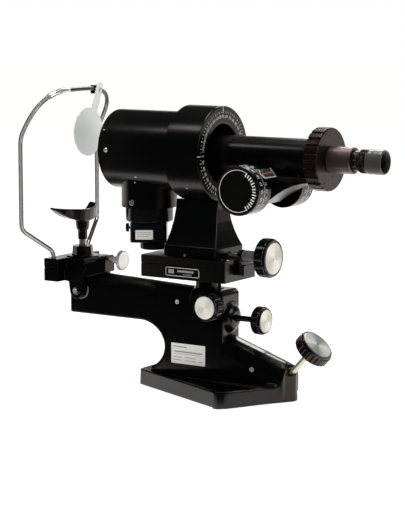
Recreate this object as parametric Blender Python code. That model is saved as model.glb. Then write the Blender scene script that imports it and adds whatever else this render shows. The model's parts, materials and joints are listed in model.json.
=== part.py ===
"""Keratometer: headrest, lamp housing, optical head, axis ring, power drums, focusing stage and cast base.

Frame: +X along the optical axis from the patient to the operator, +Z up. The origin is on the table,
under the pillar.
"""

import math

import bmesh
import bpy
from mathutils import Matrix, Vector

MM = 0.001
GAP = 0.3 * MM                       # clearance between neighbouring solids

# Optical axis and pillar
AXIS_Z = 326.8 * MM
POST_R = 17.5 * MM

# Base casting
FOOT_WALL_LOW = 2.2 * MM
FOOT_WALL_TOP = 24.7 * MM
FOOT_DISH = 19.5 * MM
HALF_WEB = 22.0 * MM
HALF_RIDGE = 21.9 * MM
HALF_ARM = 21.8 * MM
ARM_FRONT = -218.7 * MM
ARM_LOW = 92.6 * MM
ARM_TOP_FRONT = 152.0 * MM
ARM_TOP_REAR = 142.5 * MM
COLUMN_REAR = 36.0 * MM
COLUMN_TOP = 143.5 * MM
RIDGE_REAR = 130.0 * MM
APEX_TOP = 40.2 * MM

# Rack and pinion
PINION_X = 22.5 * MM
PINION_Z = 123.8 * MM
PINION_TEETH = 14
PINION_PITCH_R = 7.0 * MM
TOOTH_PITCH = 2 * math.pi * PINION_PITCH_R / PINION_TEETH

# Clamp screws
LOCK_Z = 105.9 * MM
FOOT_SCREW_TOP = Vector((170.3, 0.0, 82.4)) * MM
FOOT_SCREW_AXIS = Vector((0.676, 0.0, 0.737)).normalized()

# Stage and saddle
STAGE_LOW = 157.6 * MM
STAGE_SEAM = 176.0 * MM
STAGE_TOP = 187.4 * MM
STAGE_FRONT = -85.4 * MM
STAGE_REAR = 50.6 * MM
STAGE_HALF = 40.0 * MM
FOCUS_Z = 191.2 * MM
FLANGE_TOP = 202.0 * MM

# Optical head
SHELL_R = 54.4 * MM
SHELL_FRONT = -142.0 * MM
SHELL_REAR = -31.0 * MM
RING_R = 63.9 * MM
RING_FRONT = -30.5 * MM
RING_REAR = 22.8 * MM
RING_HOLE_R = 39.9 * MM
TUBE_R = 25.5 * MM
TUBE_REAR = 168.9 * MM
DISC_R = 41.4 * MM
DISC_REAR = 188.2 * MM
LAMP_X = -97.0 * MM
HOLDER_HALF = 25.4 * MM
HOLDER_TURN = 30.0                   # degrees
DRUM_X = 90.0 * MM
DRUM_Z = 286.5 * MM
DRUM_R = 32.3 * MM
DRUM_INNER = 41.3 * MM
DRUM_FACE = 72.5 * MM
HOUSING_HALF = 26.0 * MM

# Headrest and chin rest
CHIN_X = -212.0 * MM
BRACKET_LOW = 139.0 * MM
BRACKET_TOP = 171.0 * MM
ROD_R = 3.0 * MM
UPRIGHT_X = -251.3 * MM
UPRIGHT_Y = 89.0 * MM
OCCLUDER_Y = 39.0 * MM
OCCLUDER_Z = 404.2 * MM
OCCLUDER_X = -208.5 * MM
OCCLUDER_R = 34.0 * MM
SOCKET_X = -233.5 * MM
SOCKET_Y = 40.0 * MM

AXIS_X = Matrix.Rotation(math.radians(90), 4, "Y")       # local +Z becomes world +X
AXIS_Y = Matrix.Rotation(math.radians(-90), 4, "X")      # local +Z becomes world +Y
AXIS_UP = Matrix.Identity(4)


# ---------------------------------------------------------------- helpers

def clear_scene():
    for obj in list(bpy.data.objects):
        bpy.data.objects.remove(obj)


def make_material(name, colour, roughness, metallic=0.0):
    material = bpy.data.materials.get(name) or bpy.data.materials.new(name)
    material.use_nodes = True
    shader = material.node_tree.nodes["Principled BSDF"]
    shader.inputs["Base Color"].default_value = (*colour, 1.0)
    shader.inputs["Roughness"].default_value = roughness
    shader.inputs["Metallic"].default_value = metallic
    return material


def black_paint():
    return make_material("black_paint", (0.022, 0.024, 0.025), 0.38)


def black_anodised():
    return make_material("black_anodised", (0.03, 0.032, 0.034), 0.28, 0.4)


def black_plastic():
    return make_material("black_plastic", (0.02, 0.02, 0.021), 0.3)


def silver():
    return make_material("silver", (0.72, 0.71, 0.67), 0.3, 1.0)


def steel():
    return make_material("steel", (0.6, 0.6, 0.6), 0.25, 1.0)


def chrome():
    return make_material("chrome", (0.8, 0.8, 0.8), 0.08, 1.0)


def zinc_plate():
    return make_material("zinc_plate", (0.66, 0.56, 0.3), 0.3, 1.0)


def rubber():
    return make_material("rubber", (0.03, 0.03, 0.03), 0.8)


def brown_anodised():
    return make_material("brown_anodised", (0.3, 0.22, 0.22), 0.22, 0.9)


def glass():
    return make_material("glass", (0.85, 0.9, 0.9), 0.03)


def white_plastic():
    return make_material("white_plastic", (0.8, 0.84, 0.8), 0.35)


def finish_object(name, bm, material, matrix=AXIS_UP, sharp_degrees=35.0):
    """Makes a smooth-shaded object from bm, placed by matrix."""
    bmesh.ops.recalc_face_normals(bm, faces=bm.faces)
    mesh = bpy.data.meshes.new(name)
    bm.to_mesh(mesh)
    bm.free()
    mesh.shade_smooth()
    mesh.set_sharp_from_angle(angle=math.radians(sharp_degrees))
    mesh.materials.append(material)
    obj = bpy.data.objects.new(name, mesh)
    bpy.context.scene.collection.objects.link(obj)
    obj.matrix_world = matrix
    return obj


def loft(name, rings, material, matrix=AXIS_UP, closed=False):
    """Skins rings of equally many points. Its ends are capped, or joined to each other when closed."""
    bm = bmesh.new()
    loops = [[bm.verts.new(point) for point in ring] for ring in rings]
    count = len(loops[0])
    pairs = list(zip(loops, loops[1:]))
    if closed:
        pairs.append((loops[-1], loops[0]))
    for low, high in pairs:
        for i in range(count):
            j = (i + 1) % count
            bm.faces.new((low[i], low[j], high[j], high[i]))
    if not closed:
        bm.faces.new(list(reversed(loops[0])))
        bm.faces.new(loops[-1])
    return finish_object(name, bm, material, matrix)


def turned(name, profile, material, matrix=AXIS_UP, segments=None, hollow=False):
    """Turns (radius, height) points, in millimetres, about local Z. A hollow profile closes on itself."""
    if segments is None:
        largest = max(radius for radius, height in profile)
        segments = min(32, max(12, 4 * round(1.5 + largest / 5)))
    rings = []
    for radius, height in profile:
        angles = [2 * math.pi * (i + 0.5) / segments for i in range(segments)]
        rings.append([(radius * MM * math.cos(a), radius * MM * math.sin(a), height * MM) for a in angles])
    return loft(name, rings, material, matrix, closed=hollow)


def prism(name, outline, low, high, material, matrix=AXIS_UP):
    """Extrudes an outline of local (x, y) points between two heights along local Z."""
    rings = [[(x, y, z) for x, y in outline] for z in (low, high)]
    return loft(name, rings, material, matrix)


def side_prism(name, outline, low, high, material):
    """Extrudes an outline of (x, z) points from y = low to y = high."""
    rings = [[(x, y, z) for x, z in outline] for y in (low, high)]
    return loft(name, rings, material)


def box(name, low, high, material):
    x0, y0, z0 = (value * MM for value in low)
    x1, y1, z1 = (value * MM for value in high)
    return prism(name, [(x0, y0), (x1, y0), (x1, y1), (x0, y1)], z0, z1, material)


def rod(name, start, end, radius, material, segments=None):
    """A plain round bar between two points."""
    start, end = Vector(start), Vector(end)
    matrix = Matrix.Translation(start) @ (end - start).to_track_quat("Z", "Y").to_matrix().to_4x4()
    length = (end - start).length / MM
    return turned(name, [(radius / MM, 0.0), (radius / MM, length)], material, matrix, segments)


def combine(target, other, operation):
    """Adds a Boolean with other, which stays in the file as a hidden tool that moves with its target."""
    modifier = target.modifiers.new(other.name, "BOOLEAN")
    modifier.operation = operation
    modifier.solver = "EXACT"
    modifier.object = other
    other.hide_render = True
    other.display_type = "WIRE"
    other.parent = target
    other.matrix_parent_inverse = target.matrix_basis.inverted()


def cut(target, *tools):
    for tool in tools:
        combine(target, tool, "DIFFERENCE")


def add(target, *tools):
    for tool in tools:
        combine(target, tool, "UNION")


def placed(x=0.0, y=0.0, z=0.0, turn=AXIS_UP):
    return Matrix.Translation((x, y, z)) @ turn


def sweep(name, path, outer, material, inner=0.0, segments=8):
    """A round bar, or a tube when inner is given, along a list of points."""
    rings_out, rings_in = [], []
    side = Vector((0.0, 0.0, 1.0))
    for i, point in enumerate(path):
        ahead = (path[min(i + 1, len(path) - 1)] - path[max(i - 1, 0)]).normalized()
        side = (side - ahead * side.dot(ahead)).normalized() if i else ahead.orthogonal().normalized()
        across = ahead.cross(side)
        turn = [2 * math.pi * k / segments for k in range(segments)]
        spokes = [side * math.cos(a) + across * math.sin(a) for a in turn]
        rings_out.append([point + spoke * outer for spoke in spokes])
        rings_in.append([point + spoke * inner for spoke in spokes])
    if inner:
        return loft(name, rings_out + list(reversed(rings_in)), material, closed=True)
    return loft(name, rings_out, material)


def rounded(corners, inset=0.0, steps=3):
    """Rounds corners (x, y, radius), given in millimetres, of an outline set in from its edges."""
    count = len(corners)
    points = [Vector((x, y)) for x, y, _ in corners]
    moved = []
    for i in range(count):
        back = (points[i] - points[i - 1]).normalized()
        ahead = (points[(i + 1) % count] - points[i]).normalized()
        inward = (Vector((-back.y, back.x)) + Vector((-ahead.y, ahead.x))).normalized()
        slope = max(inward.dot(Vector((-back.y, back.x))), 0.2)
        moved.append(points[i] + inward * (inset / slope))
    outline = []
    for i in range(count):
        radius = max(corners[i][2] - inset, 0.6)
        back = (moved[i - 1] - moved[i]).normalized()
        ahead = (moved[(i + 1) % count] - moved[i]).normalized()
        half = back.angle(ahead) / 2
        reach = radius / math.tan(half)
        start, end = moved[i] + back * reach, moved[i] + ahead * reach
        centre = moved[i] + (back + ahead).normalized() * (radius / math.sin(half))
        for step in range(steps + 1):
            blend = start.lerp(end, step / steps) - centre
            outline.append(centre + blend.normalized() * radius)
    return [(p.x * MM, p.y * MM) for p in outline]


def tunnel_ring(x, half, low, top, steps=8):
    """A cross-section at x with straight sides and a half-round top."""
    spring = top - half
    arc = [(x, half * math.cos(a), spring + half * math.sin(a))
           for a in (math.pi * k / steps for k in range(steps + 1))]
    return [(x, -half, low), (x, half, low)] + arc


# ---------------------------------------------------------------- base

FOOT_CORNERS = [(-99.5, -22.0, 5.0), (81.0, -100.0, 14.0), (115.0, -38.0, 40.0), (140.5, 0.0, 12.0),
                (115.0, 38.0, 40.0), (81.0, 100.0, 14.0), (-99.5, 22.0, 5.0)]
CAVITY_CORNERS = [(-84.0, -13.0, 4.0), (52.0, -66.0, 8.0), (78.0, -56.0, 8.0), (112.0, -8.0, 3.0),
                  (112.0, 8.0, 3.0), (78.0, 56.0, 8.0), (52.0, 66.0, 8.0), (-84.0, 13.0, 4.0)]
# Half width of the raised tip of the foot at several heights: its sides sweep up from the wall.
APEX_STEPS = [(15.0, 30.0), (24.2, 30.0), (25.5, 26.0), (28.0, 21.5), (31.5, 18.6), (35.5, 17.2),
              (APEX_TOP / MM, 16.6)]


def arm_tunnel(name, margin, material):
    """The arm's inverted-U body, or the same shape grown by a margin to cut a saddle for it."""
    half = HALF_ARM + margin
    front = tunnel_ring(ARM_FRONT - margin, half, ARM_LOW - margin, ARM_TOP_FRONT + margin)
    rear = tunnel_ring(COLUMN_REAR - 10 * MM, half, ARM_LOW - margin, ARM_TOP_REAR + margin)
    return loft(name, [front, rear], material)


def column_outline():
    """The column's side view: an arched front edge, a head for the post and a straight rear face."""
    arch_x, arch_z, arch_a, arch_b = -100.8 * MM, 59.2 * MM, 42.0 * MM, 34.0 * MM
    arch = []
    for k in range(11):
        angle = math.radians(-62 + 15.2 * k)
        arch.append((arch_x + arch_a * math.cos(angle), arch_z + arch_b * math.sin(angle)))
    head = [(-104.0 * MM, 112.0 * MM), (-20.0 * MM, 118.0 * MM), (-14.0 * MM, COLUMN_TOP)]
    rear = [(COLUMN_REAR - 5 * MM, COLUMN_TOP), (COLUMN_REAR, COLUMN_TOP - 5 * MM), (COLUMN_REAR, 14.0 * MM)]
    return [(-82.0 * MM, 14.0 * MM)] + arch + head + rear


def apex_ring(height, half):
    """The foot's tip at a height: its outer edge follows the wall, its inner edge is straight."""
    outer = []
    for k in range(13):
        y = half * (k / 6 - 1)
        edge = 140.3 - 0.671 * abs(y)
        tip = 126.0 + math.sqrt(max(144.0 - y * y, 0.0))
        x = min(edge, tip) if abs(y) < 6.7 else edge
        outer.append((x * MM, y * MM, height * MM))
    return [(104.0 * MM, half * MM, height * MM), (104.0 * MM, -half * MM, height * MM)] + outer


def build_base():
    paint = black_paint()
    foot_rings = []
    wall = ((-0.8, FOOT_WALL_LOW), (0.0, FOOT_WALL_TOP), (3.0, FOOT_WALL_TOP), (8.0, FOOT_DISH))
    for inset, height in wall:
        foot_rings.append([(x, y, height) for x, y in rounded(FOOT_CORNERS, inset)])
    base = loft("base_casting", foot_rings, paint)
    web_front = tunnel_ring(COLUMN_REAR - 8 * MM, HALF_RIDGE, 12 * MM, 86.0 * MM)
    web_rear = tunnel_ring(RIDGE_REAR, HALF_RIDGE, 12 * MM, 52.6 * MM)
    cavity = prism("base_cavity_tool", rounded(CAVITY_CORNERS), -1 * MM, 13 * MM, paint)
    cut(base, cavity)
    add(base,
        loft("base_apex_tool", [apex_ring(height, half) for height, half in APEX_STEPS], paint),
        side_prism("base_column_tool", column_outline(), -HALF_WEB, HALF_WEB, paint),
        arm_tunnel("base_arm_tool", 0.0, paint),
        loft("base_web_tool", [web_front, web_rear], paint),
        turned("base_boss_tool", [(20, 0), (19.6, 8), (17.5, 11), (14, 13.3), (9, 14.8)], paint,
               placed(30 * MM, 0, LOCK_Z, AXIS_X)),
        turned("base_core_tool", [(28, 3.5), (28, 16.5)], paint, AXIS_UP))
    screw_foot = FOOT_SCREW_TOP - FOOT_SCREW_AXIS * 82 * MM
    cut(base,
        turned("post_bore_tool", [(18.2, -5), (18.2, 200)], paint, AXIS_UP),
        turned("bush_bore_tool", [(20.3, 132.7), (20.3, 200)], paint, AXIS_UP),
        turned("pinion_bore_tool", [(8.8, -40), (8.8, -22 + 8), (8.8, 9)], paint,
               placed(PINION_X, 0, PINION_Z, AXIS_Y)),
        box("pinion_window_tool", (12, -9, 115.5), (24, 9, 132), paint),
        rod("lock_bore_tool", (10 * MM, 0, LOCK_Z), (60 * MM, 0, LOCK_Z), 4.3 * MM, paint),
        rod("foot_bore_tool", screw_foot, FOOT_SCREW_TOP, 4.3 * MM, paint),
        box("arm_channel_tool", (-211, -16, 80), (-112, 16, 118), paint),
        rod("chin_bore_tool", (CHIN_X, 0, 100 * MM), (CHIN_X, 0, 170 * MM), 6.4 * MM, paint),
        rod("pin_bore_tool", (-199.5 * MM, -40 * MM, 126.5 * MM), (-199.5 * MM, 40 * MM, 126.5 * MM),
            4.3 * MM, paint))
    for name, x, y in (("foot_pad_left", 68, -82), ("foot_pad_right", 68, 82), ("foot_pad_front", -91, 0)):
        turned(name, [(8.0, 0), (8.6, 1.9)], rubber(), placed(x * MM, y * MM))
    turned("bore_cover", [(25, 0), (26, 0.8), (26, 3.2)], rubber(), AXIS_UP)
    turned("column_bush", [(20, 133), (20, 144.2), (17.8, 144.2), (17.8, 133)], black_plastic(), hollow=True)


# ---------------------------------------------------------------- knobs

def hand_knob(name, face, axis, outer, inlay, thickness, hub):
    """A black ribbed knob with a silver inlay. face is its front centre, axis points out of the face."""
    matrix = Matrix.Translation(face) @ Vector(axis).to_track_quat("Z", "Y").to_matrix().to_4x4()
    low = -thickness
    body = [(9.0, low - hub), (9.0, low), (outer - 2, low), (outer, low + 2.5), (outer, -3.0),
            (outer - 1.5, -0.6), (inlay + 0.5, -0.6), (inlay + 0.3, -2.0), (0.8, -2.0), (0.8, low - hub)]
    turned(name, body, black_plastic(), matrix, hollow=True)
    turned(name + "_inlay", [(inlay, -1.7), (inlay, -0.3), (inlay - 0.7, 0.0)], silver(), matrix)


def pinion_outline():
    """Gear teeth of slightly reduced thickness, so the rack keeps some backlash."""
    root, tip = PINION_PITCH_R - 1.4 * MM, PINION_PITCH_R + 0.85 * MM
    turn = 2 * math.pi / PINION_TEETH
    points = []
    for k in range(PINION_TEETH):
        centre = math.pi + turn * (k + 0.5)
        for radius, offset in ((root, -0.33), (tip, -0.12), (tip, 0.12), (root, 0.33)):
            angle = centre + offset * turn
            points.append((radius * math.cos(angle), radius * math.sin(angle)))
    return points


def build_elevation_drive():
    gear = pinion_outline()
    bar = []
    for x, y in gear:
        reach = math.hypot(x, y)
        bar.append((x / reach * 3.7 * MM, y / reach * 3.7 * MM))
    rings = []
    for outline, height in ((bar, -23.6), (bar, -3.6), (gear, -3.6), (gear, 3.6), (bar, 3.6), (bar, 8.2)):
        rings.append([(x, y, height * MM) for x, y in outline])
    matrix = placed(PINION_X, 0, PINION_Z) @ Matrix.Rotation(math.radians(-90), 4, "X")
    loft("elevation_pinion", rings, steel(), matrix)
    hand_knob("elevation_knob", Vector((PINION_X, -46 * MM, PINION_Z)), (0, -1, 0), 19.0, 15.3, 19.0, 2.8)


def build_clamp_screws():
    rod("lock_screw", (18.4 * MM, 0, LOCK_Z), (73.3 * MM, 0, LOCK_Z), 4.0 * MM, steel())
    hand_knob("lock_knob", Vector((91.6 * MM, 0, LOCK_Z)), (1, 0, 0), 19.0, 15.5, 15.5, 2.0)
    low = FOOT_SCREW_TOP - FOOT_SCREW_AXIS * 78 * MM
    high = FOOT_SCREW_TOP - FOOT_SCREW_AXIS * 21.4 * MM
    rod("foot_screw", low, high, 4.0 * MM, zinc_plate())
    hand_knob("foot_knob", FOOT_SCREW_TOP, FOOT_SCREW_AXIS, 25.5, 21.5, 17.0, 4.0)


# ---------------------------------------------------------------- post, stage and saddle

def build_post():
    post = turned("post_tube", [(POST_R / MM, 46), (POST_R / MM, 157.3), (10, 157.3), (10, 171.0)],
                  black_anodised())
    cut(post, box("rack_slot_tool", (9.0, -4.3, 78), (25, 4.3, 150), steel()))
    tip, root, back = 16.3 * MM, 14.0 * MM, 9.3 * MM
    outline = [(back, 80 * MM), (root, 80 * MM)]
    first = PINION_Z - 13 * TOOTH_PITCH
    for k in range(20):
        centre = first + k * TOOTH_PITCH
        for x, offset in ((root, -0.3), (tip, -0.12), (tip, 0.12), (root, 0.3)):
            outline.append((x, centre + offset * TOOTH_PITCH))
    outline += [(root, 149.4 * MM), (back, 149.4 * MM)]
    side_prism("post_rack", outline, -4 * MM, 4 * MM, steel())


def stage_plate(name, low, high, radius, material):
    front, rear, half = STAGE_FRONT / MM, STAGE_REAR / MM, STAGE_HALF / MM
    corners = [(front, -half, radius), (rear, -half, radius), (rear, half, radius), (front, half, radius)]
    return prism(name, rounded(corners, 0.0, 3), low, high, material)


def build_stage():
    lower = stage_plate("stage_base", STAGE_LOW, STAGE_SEAM, 3.0, black_paint())
    cut(lower, turned("spigot_bore_tool", [(10.4, 150), (10.4, 180)], steel(), AXIS_UP))
    stage_plate("stage_top", STAGE_SEAM + GAP, STAGE_TOP, 3.0, black_paint())
    turns = [math.radians(15 * k) for k in range(13)]
    arch = [(math.cos(a) * 9.5 * MM, FOCUS_Z + math.sin(a) * 8.5 * MM) for a in turns]
    feet = [(y * MM, z * MM) for y, z in ((-9.5, 178), (-12, 171), (-12, 166), (9.5, 166))]
    rings = [[(x * MM, y, z) for y, z in feet + arch] for x in (50.9, 56.2)]
    bearing = loft("focus_bearing", rings, black_paint())
    add(bearing, box("bearing_lug_tool", (55, -11, 166), (63, 2, 179), black_paint()))
    cut(bearing, rod("bearing_bore_tool", (45 * MM, 0, FOCUS_Z), (65 * MM, 0, FOCUS_Z), 2.9 * MM, steel()))
    turned("focus_screw", [(2.5, -24), (2.5, 56.8), (8.0, 56.8), (8.0, 76.3)], steel(),
           placed(0, 0, FOCUS_Z, AXIS_X))
    hand_knob("focus_knob", Vector((103.1 * MM, 0, FOCUS_Z)), (1, 0, 0), 26.4, 21.4, 18.0, 8.5)


def pedestal_ring(x_front, x_rear, half, height, front_radius=3.0):
    corners = [(x_front, -half, front_radius), (x_rear, -half, 3), (x_rear, half, 3),
               (x_front, half, front_radius)]
    return [(x, y, height * MM) for x, y in rounded(corners, 0.0, 3)]


def build_saddle():
    low, top = STAGE_TOP / MM + 0.3, FLANGE_TOP / MM
    rings = [pedestal_ring(-50.0, 32.9, 36.5, low), pedestal_ring(-50.0, 32.9, 36.5, top)]
    for blend in (0.0, 0.12, 0.27, 0.45, 0.7, 1.0):
        flare = (1 - blend) ** 2.2
        half = 15 + 20.8 * flare
        ring = pedestal_ring(-47 - 2.2 * flare, 22.5 + 9.7 * flare, half, top + 73 * blend, 12 - 9 * flare)
        rings.append(ring)
    pedestal = loft("pedestal", rings, black_paint())
    cut(pedestal,
        turned("ring_seat_tool", [(RING_R / MM + 0.3, -60), (RING_R / MM + 0.3, 60)], steel(),
               placed(0, 0, AXIS_Z, AXIS_X)),
        rod("focus_bore_tool", (-40 * MM, 0, FOCUS_Z), (50 * MM, 0, FOCUS_Z), 2.9 * MM, steel()))
    rim, hole = RING_R / MM, RING_HOLE_R / MM
    front, rear = RING_FRONT / MM, RING_REAR / MM
    turned("axis_ring", [(rim, front), (rim, rear - 1), (rim - 1, rear), (hole, rear), (hole, rear - 7.8),
                         (46.2, rear - 7.8), (46.2, front)],
           black_paint(), placed(0, 0, AXIS_Z, AXIS_X), hollow=True)


# ---------------------------------------------------------------- optical head

def build_head_shell():
    front, rear = SHELL_FRONT / MM, SHELL_REAR / MM
    at_axis = placed(0, 0, AXIS_Z, AXIS_X)
    shell = turned("head_shell", [(54.4, front), (54.4, rear), (45.7, rear), (45.7, 14.5), (42, 14.5),
                                  (42, -27.5), (25.8, -27.5), (25.8, -34), (51, -34), (51, front)],
                   black_paint(), at_axis, hollow=True)
    cut(shell, rod("light_port_tool", (LAMP_X, 0, 230 * MM), (LAMP_X, 0, 300 * MM), 29 * MM, steel()))
    turned("front_cover", [(54.4, -145.2), (54.4, front - 0.3), (38.3, front - 0.3), (38.3, -145.2)],
           black_anodised(), at_axis, hollow=True)
    turned("mire_plate", [(38, -144.6), (38, -142.6), (12, -142.6), (12, -144.6)], glass(), at_axis,
           hollow=True)
    turned("objective_lens", [(6, -146.0), (11.5, -144.9), (11.7, -144.0), (11.7, -141.5), (6, -139.5)],
           glass(), at_axis)
    tilt = placed(LAMP_X, 0, AXIS_Z) @ Matrix.Rotation(math.radians(45), 4, "Y")
    turned("diagonal_mirror", [(44, -1), (44, 1), (18, 1), (18, -1)], chrome(), tilt, hollow=True)


def build_lamp():
    here = placed(LAMP_X, 0, 0)
    collar = turned("lamp_collar", [(38.6, 248.9), (38.6, 300), (33.4, 300), (33.4, 248.9)],
                    black_paint(), here, hollow=True)
    cut(collar, turned("shell_seat_tool", [(SHELL_R / MM + 0.3, -160), (SHELL_R / MM + 0.3, 0)], steel(),
                       placed(0, 0, AXIS_Z, AXIS_X)))
    barrel = [(30, 228.5), (33, 231), (33, 262), (28.5, 262), (28.5, 234), (15, 234), (15, 228.5)]
    turned("lamp_barrel", barrel, black_anodised(), here, hollow=True)
    turned("condenser_lens", [(27.8, 252), (28.2, 253), (28.2, 256), (12, 259.5)], glass(), here)
    side = HOLDER_HALF / MM
    square = rounded([(-side, -side, 6), (side, -side, 6), (side, side, 6), (-side, side, 6)], 0.0, 3)
    turned_here = here @ Matrix.Rotation(math.radians(HOLDER_TURN), 4, "Z")
    holder = prism("lamp_holder", square, 200.9 * MM, 228.2 * MM, black_plastic(), turned_here)
    cut(holder, turned("holder_bore_tool", [(5, 195), (5, 207), (14.3, 207), (14.3, 235)], steel(), here))
    turned("lamp_cap", [(17.0, 190.3), (18.5, 191.5), (18.5, 200.6), (3, 200.6), (3, 190.3)], black_plastic(),
           placed(LAMP_X + 6.5 * MM, 0, 0), hollow=True)
    turned("bulb", [(7, 208), (9, 209), (9, 226), (5, 229), (9, 238), (9, 244), (4, 249.5)], glass(), here)
    outward = turned_here @ placed(0, 0, 219 * MM, Matrix.Rotation(math.radians(-90), 4, "Y"))
    turned("lamp_thumbscrew", [(1.8, 25.7), (1.8, 28.3), (6, 28.3), (6, 32.0), (5, 32.8)], black_plastic(),
           outward)


def housing_outline():
    """Side view of the drum housing: round under the drum shafts, rising to the grip disc."""
    arc = []
    for k in range(9):
        angle = math.radians(180 + 16.5 * k)
        arc.append((DRUM_X + 23 * MM * math.cos(angle), DRUM_Z + 23 * MM * math.sin(angle)))
    end = TUBE_REAR - GAP
    rise = [(120.0, 279.3), (133.4, 286.9), (146.0, 292.4), (157.8, 295.6), (end / MM, 297.2)]
    return [(52 * MM, 304 * MM), (54 * MM, 290 * MM)] + arc + [(x * MM, z * MM) for x, z in rise] + [
        (end, 304 * MM)]


def build_telescope():
    at_axis = placed(0, 0, AXIS_Z, AXIS_X)
    tube_r, rear = TUBE_R / MM, TUBE_REAR / MM
    tube = turned("telescope_tube", [(tube_r, -33.5), (tube_r, rear), (22.5, rear), (22.5, -33.5)],
                  black_paint(), at_axis, hollow=True)
    cut(tube, box("tube_window_tool", (60, -11, 290), (120, 11, 312), steel()))
    housing = side_prism("drum_housing", housing_outline(), -HOUSING_HALF, HOUSING_HALF, black_paint())
    cut(housing,
        turned("tube_seat_tool", [(tube_r + 0.3, 0), (tube_r + 0.3, 200)], steel(), at_axis),
        box("prism_room_tool", (64, -20, 281), (117, 20, 330), steel()),
        rod("drum_bore_tool", (DRUM_X, -40 * MM, DRUM_Z), (DRUM_X, 40 * MM, DRUM_Z), 4.3 * MM, steel()))
    for side, name in ((-1, "left"), (1, "right")):
        waist = ((40, 287.5), (26, 287.5), (19.5, 262), (19.5, 255), (40, 255))
        rings = [[(x * MM, side * y * MM, z * MM) for y, z in waist] for x in (50, 175)]
        cut(housing, loft("housing_side_tool_" + name, rings, steel()))
        x = (DRUM_X / MM) + 15 * side
        y = 10.0 * side
        box("prism_carriage_" + name, (x - 6, y - 8, 282), (x + 6, y + 8, 299), glass())
    rim, face = DISC_R / MM, DISC_REAR / MM
    disc = [(rim, rear + 0.3), (rim, face - 1.4), (rim - 1.4, face), (10, face), (10, rear + 0.3)]
    turned("grip_disc", disc, black_anodised(), at_axis, hollow=True)
    turned("eyepiece_sleeve", [(17.3, 188.5), (17.3, 221.5), (16.3, 222.5), (14.3, 222.5), (14.3, 188.5)],
           brown_anodised(), at_axis, hollow=True)
    plate = [(-7.0, -29.0), (0.0, -33.0), (7.0, -29.0), (7.0, 0.0), (-7.0, 0.0)]
    tilt = placed(DRUM_X, -26.8 * MM, DRUM_Z) @ Matrix.Rotation(math.radians(50), 4, "Y")
    prism("index_plate", [(x * MM, y * MM) for x, y in plate], 33.2 * MM, 35.0 * MM, glass(), tilt)


def build_eyepiece():
    at_axis = placed(0, 0, AXIS_Z, AXIS_X)
    turned("eyepiece_barrel", [(13.5, 196), (13.5, 232), (15, 233), (15.4, 240.5), (13.5, 242), (13.5, 246),
                               (10.5, 246), (10.5, 196)], black_anodised(), at_axis, hollow=True)
    turned("eye_lens", [(9.0, 238), (10.2, 239.5), (10.2, 242.5), (9, 244)], glass(), at_axis)
    turned("eyecup", [(13.8, 243), (15.6, 243.4), (16, 246), (16, 265), (14.5, 266.6), (11.5, 262),
                      (11.5, 246.3), (13.8, 246.3)], rubber(), at_axis, hollow=True)


def build_drums():
    for side, name in ((-1, "left"), (1, "right")):
        matrix = placed(DRUM_X, 0, DRUM_Z) @ Matrix.Rotation(math.radians(-90 * side), 4, "X")
        rim, inner, face = DRUM_R / MM, DRUM_INNER / MM, DRUM_FACE / MM
        outline = [(4, 3), (4, 66), (28.5, 66), (28.5, inner), (rim, inner), (rim, face - 1.5),
                   (rim - 1.5, face)]
        turned("power_drum_" + name, outline, black_anodised(), matrix)


# ---------------------------------------------------------------- headrest and chin rest

# The clamp lever narrows towards its screw: (x, half width, underside, top), in millimetres.
LEVER_STEPS = [(-187.2, 29.0, 147.0, 163.5), (-182.0, 26.0, 147.0, 168.5), (-176.0, 21.0, 148.5, 172.0),
               (-170.0, 15.0, 150.5, 174.5), (-165.0, 11.5, 152.0, 175.5)]


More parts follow.
